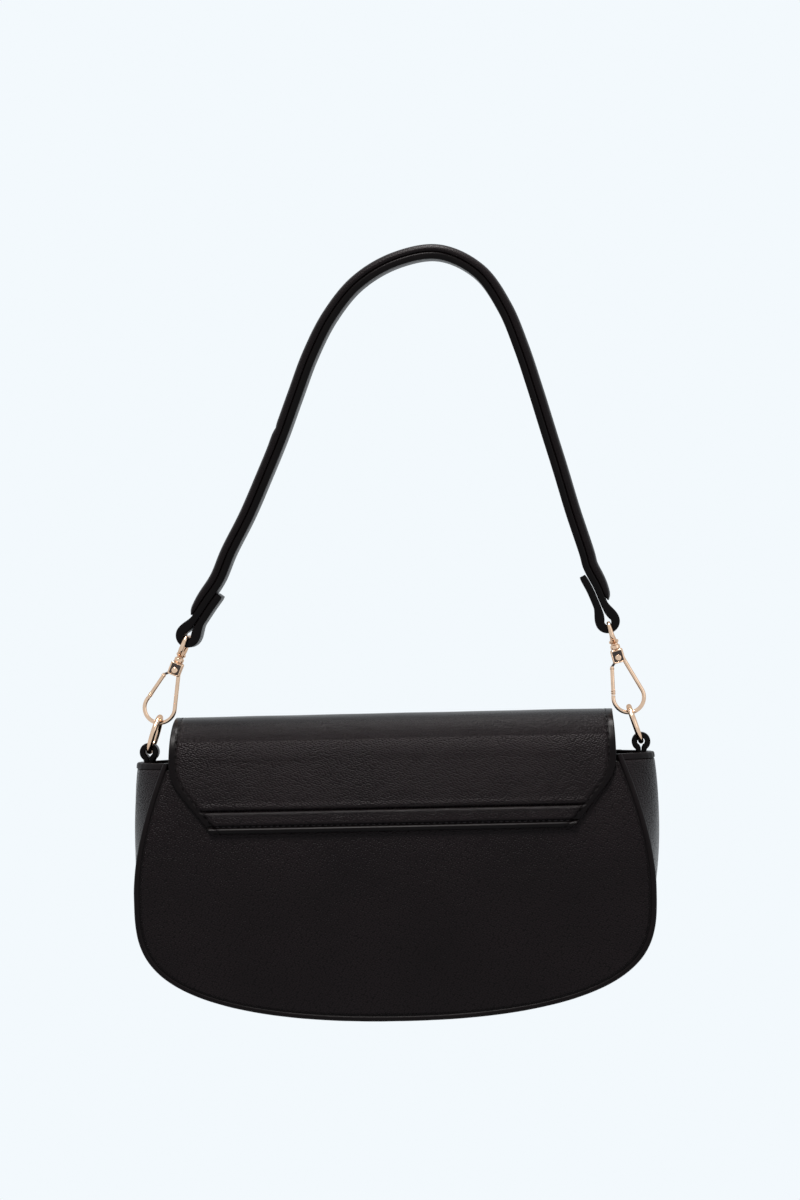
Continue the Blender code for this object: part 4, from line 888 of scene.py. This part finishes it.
def strap_loop(name):
    """From the arch round the eye to the tail's end, and the leather's extra thickness on its inner side."""
    centre, up, out = strap_end(name)
    narrow = (STRIP + GAP) / 2
    shares = np.linspace(1, 0, 12, endpoint=False)
    swells = narrow + (LOOP_RADIUS - narrow) * (1 + np.cos(math.pi * shares)) / 2
    holes = CONTACT + 0.0016 * np.maximum(1 - shares * LOOP_LENGTH / HOLE_RISE, 0.0) ** 1.2
    fills = swells - STRIP / 2 - holes
    line = [centre + up * LOOP_LENGTH * a + out * b for a, b in zip(shares, swells)]
    turns = np.linspace(0, math.pi, 30)
    line += [centre + out * LOOP_RADIUS * math.cos(t) - up * LOOP_RADIUS * math.sin(t) for t in turns]
    round_fills = 0.00015 + (LOOP_RADIUS - STRIP / 2 - 0.00168 - 0.00015) * np.abs(np.cos(turns)) ** 1.5
    line += [centre + up * LOOP_LENGTH * a - out * b for a, b in zip(shares[::-1], swells[::-1])]
    return line, np.concatenate([fills, round_fills, fills[::-1]])


def strap_arch():
    (left, left_up, _), (right, right_up, _) = strap_end("left"), strap_end("right")
    first, last = strap_loop("left")[0][0], strap_loop("right")[0][0]
    middle = [left + (right - left) * across + (0, 0, STRAP_RISE * rise) for across, rise in STRAP_LINE]
    points = [first, first + left_up * THROAT_RUN, *middle, last + right_up * THROAT_RUN, last]
    return resample(smooth_line(points), 260)


def outward(line):
    ahead = unit(np.gradient(line, axis=0))
    return np.stack([-ahead[:, 2], 0 * ahead[:, 0], ahead[:, 0]], 1)


def rounded_box(low, high, corner, steps):
    """Points round a box with rounded corners, from the one at high on."""
    points = []
    for start, place_at in ((0, (1, 1)), (90, (0, 1)), (180, (0, 0)), (270, (1, 0))):
        turns = np.radians(np.linspace(start, start + 90, steps))
        centre = np.where(place_at, np.array(high) - corner, np.array(low) + corner)
        points.append(centre + corner * np.stack([np.cos(turns), np.sin(turns)], 1))
    return np.concatenate(points)


def band_section(half_thick, half_wide, corner):
    """A flat band's section with rounded edges, as (outward distance, y) pairs."""
    return rounded_box((-half_thick, -half_wide), (half_thick, half_wide), corner, 5)


def sweep(name, line, sides, sections, smooth, grain=1.0):
    """Rings at each place of a line from (distance along its side vector, y) pairs; its ends are capped."""
    rings, hides = [], []
    for place_at, side, section, at in zip(line, sides, sections, arc(line)):
        rings.append(place_at + np.outer(section[:, 0], side) + np.outer(section[:, 1], (0, 1, 0)))
        over = arc(section)
        hides.append(np.stack([over, np.full_like(over, at), np.full_like(over, grain)], 1))
    piece = join_rings(name, rings, smooth=smooth)
    lay_hide(piece, hides)
    return piece


def paint_edges(piece, limit=0.6):
    """The faces that look sideways, to -Y and +Y, take the painted edge."""
    piece.data.materials.append(EDGE)
    for face in piece.data.polygons:
        if abs(face.normal[1]) > limit:
            face.material_index = 1


def build_strip(arch, steps):
    """The strap's leather: over the arch, round both eyes, and back along the arch's inner side as tails."""
    inside = arch - outward(arch) * (STRIP + GAP)
    ends = []
    for name, turned in (("left", 1), ("right", -1)):
        along = np.linspace(0, TAIL_RUN - LOOP_LENGTH, 14)[1:]
        run = abs(steps[::turned] - steps[::turned][0])
        loop, fill = strap_loop(name)
        ends.append((loop + list(at_lengths(inside[::turned], run, along)),
                     np.concatenate([fill, np.full(len(along), GAP / 2 - CONTACT)])))
    (left, left_fill), (right, right_fill) = ends
    line = np.array(left[::-1] + list(arch[1:-1]) + right)
    order = np.arange(len(arch) - 2)
    run = np.clip(1 - np.minimum(order, order[::-1]) / 12, 0, 1)
    fill = np.concatenate([left_fill[::-1], run * left_fill[0], right_fill])
    sections = []
    for k, more in enumerate(fill):
        end = min(k, len(line) - 1 - k, 2)
        thick = STRIP / 2 * (0.80, 0.95, 1.0)[end]
        band = band_section(thick + more / 2, STRAP_HALF - (0.0001, 0.0001, 0.0)[end], 0.0011)
        band[:, 0] -= more / 2
        sections.append(band)
    strip = sweep("strap_strip_leather", line, outward(line), sections, 50.0)
    fit(strip, STRAP_GRAIN, "trim_leather", "strap", "strap_strip")
    paint_edges(strip)


def build_pad(arch, steps):
    """The filled outer side: full over the arch, lower at its ends, with one slight kink."""
    sides = outward(arch)
    kink = steps[np.argmin(np.abs(arch[:130, 2] + 0.0835))]
    turns = circle(40) - math.pi / 2
    high = np.sin(turns)
    lift = np.where(high > 0, high, -np.abs(high) ** 0.55)
    across = eased(np.cos(turns), 0.62)
    sections = []
    for at in steps:
        near = min(at, steps[-1] - at)
        height = PAD_END + (PAD - PAD_END) * math.sin(math.pi / 2 * min(near / PAD_TAPER, 1.0))
        height *= 1 + groove(at - kink, 0.0016, 0.10) - groove(at - kink + 0.005, 0.004, 0.05)
        height *= 1 + 0.012 * float(wave(at, 0.0, 0.0, 0.03, 41))
        height += GAP + 0.0003
        cap = math.sqrt(max(1 - max(1 - near / PAD_CAP, 0.0) ** 2, 0.05))
        sections.append(np.stack([height * (0.36 + np.where(lift > 0, 0.64, 0.36) * lift * cap),
                                  STRAP_HALF * (0.82 + 0.18 * cap) * across], 1))
    pad = sweep("strap_pad_leather", arch + sides * (STRIP / 2 - 0.0003), sides, sections, 70.0)
    fit(pad, STRAP_GRAIN, "body_leather", "strap", "strap_pad_cover", "strap_pad_core")


def build_tabs():
    """Each tab: a strip's two layers up out of the hem, opening into a round loop for the ring."""
    for name, (side, _, _) in CLASPS.items():
        middle = np.array((side * FOOT_X, 0.0, RIM + TAB_RISE))
        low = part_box(f"{name}_tab")[0][2] - middle[2]
        radius = TAB_OUTER - TAB_SKIN / 2
        half = [(-0.00072, low), (-0.00072, -0.0100), (-0.00074, -0.0072), (-0.00105, -0.0053),
                (-0.00142, -0.0040)]
        half += [(radius * math.cos(t), radius * math.sin(t)) for t in np.radians(np.linspace(238, 90, 16))]
        whole = half + [(-x, z) for x, z in half[-2::-1]]
        line = resample(smooth_line([middle + np.array((x, 0, z)) for x, z in whole], 6), 100)
        rise = line[:, 2] - middle[2]
        skins = STEM_SKIN + (TAB_SKIN - STEM_SKIN) * np.clip((rise + 0.0070) / 0.0035, 0, 1)
        sections = [band_section(skin / 2, TAB_HALF, 0.00050) for skin in skins]
        piece = sweep(f"{name}_tab_leather", line, outward(line), sections, 50.0, 0.0)
        fit(piece, TRIM, "trim_leather", "bag", f"{name}_tab")
        paint_edges(piece)


# Hardware. Each clasp is drawn in its own frame: x to the right, z up to the swivel.

HEAD_HALF, HEAD_DEPTH, HEAD_LOW, HEAD_HIGH = 0.0032, 0.0050, 0.0179, 0.0249
RIVET_RISE = 0.0206
NOSE_TURN = math.radians(158 - 360)
SHOULDER = np.array((-0.0040, 0.0165))


def bend_at(turn):
    return BEND_RADIUS * np.array((math.cos(turn), math.sin(turn)))


def own(name, points, y=0.0):
    return np.array([clasp_point(name, x, y, z) for x, z in points])


def head_loop(half, low, high, corner):
    """The head's outline with rounded corners, in the clasp's own frame."""
    return rounded_box((SWIVEL_X - half, low), (SWIVEL_X + half, high), corner, 6)


def build_hook(name):
    """The hook: an arm and a round bend up to its nose, and a head whose faces each carry a plate of painted
    shade for the hollow inside it.
    """
    arm = np.array((SWIVEL_X + HEAD_HALF - HOOK_WIRE / 2, HEAD_LOW + HOOK_WIRE))
    touch = math.atan2(arm[1], arm[0]) - math.acos(BEND_RADIUS / float(np.linalg.norm(arm)))
    bend = [bend_at(turn) for turn in np.linspace(touch, NOSE_TURN, 60)]
    path = [arm + (bend[0] - arm) * k / 12 for k in range(12)] + bend
    parts = [tube("wire", own(name, path), HOOK_WIRE / 2, 20)]
    half = ((-1.0, 0.0005), (-0.93, 0.00015), (-0.82, 0.0))
    rings = []
    for y, step in half + tuple((-y, step) for y, step in half[::-1]):
        loop = head_loop(HEAD_HALF - step, HEAD_LOW + step, HEAD_HIGH - step, 0.0008)
        rings.append(own(name, loop, y * HEAD_DEPTH / 2))
    parts.append(join_rings("head", rings, smooth=40.0))
    middle = (HEAD_LOW + HEAD_HIGH) / 2
    rim = head_loop(HEAD_HALF - 0.00055, HEAD_LOW + 0.00045, HEAD_HIGH - 0.00075, 0.0007)
    recess = [(SWIVEL_X + (x - SWIVEL_X) * 0.93, (z - middle) * 0.95 + middle) for x, z in rim]
    for end, facing in (("rear", -1), ("fore", 1)):
        y = facing * HEAD_DEPTH / 2
        parts.append(tube("rim", own(name, rim, y), 0.00034, 12, True))
        # Dark plates just at each face paint the shade inside the open head.
        plates = [own(name, recess, y + facing * step) for step in (-0.00010, 0.00006)]
        fit(join_rings(f"{name}_head_{end}_recess", plates), PAINTED_SHADE, "gold_metal", f"{name}_hook")
    fit(join_pieces(f"{name}_hook_wire", parts), GOLD, "gold_metal", f"{name}_hook", f"{name}_clasp_hook")

    reach = HEAD_DEPTH / 2 + 0.0002
    dome = ((0.0008, 0.0), (0.0016, 0.0), (0.0016, 0.00018), (0.00148, 0.00038), (0.0012, 0.00052),
            (0.0007, 0.00060), (0.0003, 0.00062))
    profile = [(r, -reach - h) for r, h in dome[::-1]] + [(r, reach + h) for r, h in dome]
    rivet = lathe(f"{name}_rivet_pin", profile, clasp_point(name, SWIVEL_X, 0.0, RIVET_RISE), (0.0, 1.0, 0.0))
    fit(rivet, GOLD, "gold_metal", f"{name}_hook", f"{name}_clasp_rivet")


def build_gate(name):
    """The gate: a collared bar from the nose to the shoulder, and a tongue on to the rivet, coloured dark as
    painted shade for the gap under the head.
    """
    nose = bend_at(NOSE_TURN)
    span = float(np.linalg.norm(SHOULDER - nose))
    ahead = (SHOULDER - nose) / span
    line = own(name, [nose + ahead * at for at in np.linspace(0.0002, span + 0.0006, 12)])
    parts = [tube("bar", line, HOOK_WIRE / 2 * 0.96, 20)]
    top, pivot = SHOULDER + ahead * 0.0004, np.array((SWIVEL_X, RIVET_RISE))
    line = own(name, [top + (pivot - top) * k / 8 for k in range(9)])
    tongue = tube(f"{name}_gate_tongue", line, 0.00062, 14)
    collar = ((0.0009, -0.0003), (0.00116, -0.0002), (0.00124, 0.0), (0.00116, 0.0002), (0.0009, 0.0003))
    for at in (0.0012, 0.0022, span - 0.0006):
        centre, beyond = own(name, [nose + ahead * at, nose + ahead * (at + 1)])
        parts.append(lathe("collar", collar, centre, beyond - centre, 24))
    fit(join_pieces(f"{name}_gate_bar", parts), GOLD, "gold_metal", f"{name}_gate", f"{name}_clasp_gate")
    fit(tongue, PAINTED_SHADE, "gold_metal", f"{name}_gate")


def build_eye(name):
    """The swivel eye: a button inside the head, a turned collar above it and a bowed loop for the strap."""
    foot, high, button = HEAD_HIGH + 0.00015, 0.0048, HEAD_HIGH - 0.00135
    shares = ((0.88, 0.0), (0.97, 0.04), (1, 0.1), (1, 0.36), (0.95, 0.41), (0.76, 0.46), (0.73, 0.55),
              (0.76, 0.64), (0.95, 0.69), (1, 0.74), (1, 0.86), (0.92, 0.94), (0.70, 1.0))
    profile = [(0.0013, button - 0.0006), (0.0013, button), (0.0009, button), (0.0009, foot)]
    profile += [(0.0024 * wide, foot + high * up) for wide, up in shares]
    start, beyond = own(name, [(SWIVEL_X, 0.0), (SWIVEL_X, 1.0)])
    collar = lathe("collar", profile, start, beyond - start)
    base, half_eye, round_corner = foot + high * 0.8, 0.0092, 0.0022
    side_rise = EYE_RISE - 0.0068 - base
    half = [(half_eye * wide, base + side_rise * up, 0.0032 * thick)
            for wide, up, thick in ((0, 0, 1), (0.45, 0.30, 1), (0.85, 0.85, 0.85), (1, 1.31, 0.75))]
    for t in np.linspace(0, math.pi / 2, 5):
        out, down = round_corner * (1 - math.cos(t)), round_corner * (1 - math.sin(t))
        half.append((half_eye - out, EYE_RISE - down, EYE_WIRE))
    whole = half + [(0.0, EYE_RISE, EYE_WIRE)] + [(-y, z, size) for y, z, size in reversed(half[1:])]
    whole = smooth_line(whole + [whole[0]], 7)[:-1]
    eye = tube("eye", [clasp_point(name, SWIVEL_X, y, z) for y, z, _ in whole], whole[:, 2] / 2, 20, True)
    fit(join_pieces(f"{name}_swivel_eye", [collar, eye]), GOLD, "gold_metal", "strap", f"{name}_clasp_eye")


def build_hardware():
    for name, (side, _, _) in CLASPS.items():
        middle, foot = np.array((side * RING_X, 0, RING_Z)), np.array((side * FOOT_X, 0, FOOT_Z))
        radius = float(np.linalg.norm(middle - foot))
        line = middle + radius * around(96, (0, 1, 0), (middle - foot) / radius)
        ring = tube(f"{name}_ring_wire", line, RING_WIRE / 2, 24, True)
        fit(ring, GOLD, "gold_metal", f"{name}_ring", f"{name}_ring")
        build_hook(name)
        build_gate(name)
        build_eye(name)


build_panels()
build_piping()
build_gusset()
build_folds()
build_pocket()
build_flap()
ARCH = strap_arch()
build_strip(ARCH, arc(ARCH))
build_pad(ARCH, arc(ARCH))
build_tabs()
build_hardware()

# CAD solids that stay as they are
for hard_material, *node_names in (
        (STEEL, "left_gate_spring", "right_gate_spring"), (MAGNET, "panel_magnet", "flap_magnet"),
        (GREY_BOARD, "back_stiffener", "front_stiffener", "flap_front_stiffener")):
    for node_name in node_names:
        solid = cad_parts[node_name].data
        solid.materials.clear()
        solid.materials.append(hard_material)


# Floor, light and camera

PHOTO_HEIGHT, METRES_PER_PIXEL, SENSOR = 1200, 0.000496, 36.0
CAMERA_YAW, CAMERA_ROLL, CAMERA_DISTANCE = -3.459, 1.397, 1.685
CAMERA_TARGET = (0.00651, -0.03, -0.16987)
SKY = (0.896, 0.947, 0.982, 1.0)


def build_world():
    world = bpy.data.worlds.new("studio")
    bpy.context.scene.world = world
    stuff = Stuff(world)
    stuff.nodes.clear()
    seen, lit = (stuff.add("Background", Color=SKY, Strength=strength)[0] for strength in (1.0, 0.29))
    rays = stuff.add("LightPath")
    shown = stuff.maths("MAXIMUM", rays["Is Glossy Ray"], rays["Is Transmission Ray"])
    shown = stuff.maths("MAXIMUM", rays["Is Camera Ray"], shown)
    stuff.add("OutputWorld", stuff.add("MixShader", shown, lit, seen)[0])


def build_floor():
    """A pale floor under the hanging bag, which fades into the background with distance."""
    reach, level = 6.0, -0.62
    mesh = bpy.data.meshes.new("floor")
    corners = ((-reach, -reach), (reach, -reach), (reach, reach), (-reach, reach))
    mesh.from_pydata([(x, y, level) for x, y in corners], [], [(0, 1, 2, 3)])
    floor = add_object("floor", mesh)
    stuff = Stuff(bpy.data.materials.new("floor_paint"))
    mesh.materials.append(stuff.paint((0.66, 0.69, 0.71, 1.0), 0.9, None, ("Specular IOR Level", 0.1)))
    x, y, _ = stuff.add("SeparateXYZ", stuff.add("TexCoord")["Object"])
    square = stuff.maths("ADD", stuff.maths("POWER", x, 2.0), stuff.maths("POWER", y, 2.0))
    distance = stuff.maths("DIVIDE", stuff.maths("SQRT", square), 1.0, clamp=True)
    fade = stuff.ramp(distance, (0.20, (1, 1, 1)), (0.55, (0, 0, 0)))
    clear, painted = stuff.add("BsdfTransparent")[0], stuff.nodes["Principled BSDF"].outputs[0]
    mixed = stuff.add("MixShader", fade, clear, painted)[0]
    stuff.feed(stuff.nodes["Material Output"].inputs["Surface"], mixed)


def add_light(name, place_at, target, size, power, colour=(1, 1, 1)):
    data = bpy.data.lights.new(name, "AREA")
    data.shape = "RECTANGLE"
    data.size, data.size_y = size
    data.energy = power
    data.color = colour
    lamp = add_object(name, data)
    lamp.location = place_at
    lamp.rotation_euler = (Vector(target) - Vector(place_at)).to_track_quat("-Z", "Y").to_euler()


def build_camera():
    data = bpy.data.cameras.new("camera")
    camera = add_object("camera", data)
    data.sensor_fit = "VERTICAL"
    data.sensor_height = SENSOR
    data.lens = SENSOR * CAMERA_DISTANCE / (PHOTO_HEIGHT * METRES_PER_PIXEL)
    data.clip_start = 0.05
    yaw, level, roll = (Matrix.Rotation(math.radians(turn), 4, axis)
                        for turn, axis in ((-CAMERA_YAW, "Z"), (90, "X"), (-CAMERA_ROLL, "Z")))
    back = Matrix.Translation((0, 0, CAMERA_DISTANCE))
    camera.matrix_world = Matrix.Translation(CAMERA_TARGET) @ yaw @ level @ roll @ back
    bpy.context.scene.camera = camera


build_world()
build_floor()
add_light("key", (-0.20, -0.60, 1.00), (0, 0, -0.27), (0.42, 0.42), 18.0, (1.0, 0.965, 0.95))
add_light("top", (0.05, 0.06, 0.95), (0, 0, -0.25), (0.50, 0.30), 17.0, (1.0, 0.965, 0.955))
add_light("fill", (1.1, -0.8, 0.1), (0, 0, -0.28), (0.7, 0.9), 1.8)
build_camera()
bpy.context.scene.view_settings.view_transform = "Standard"
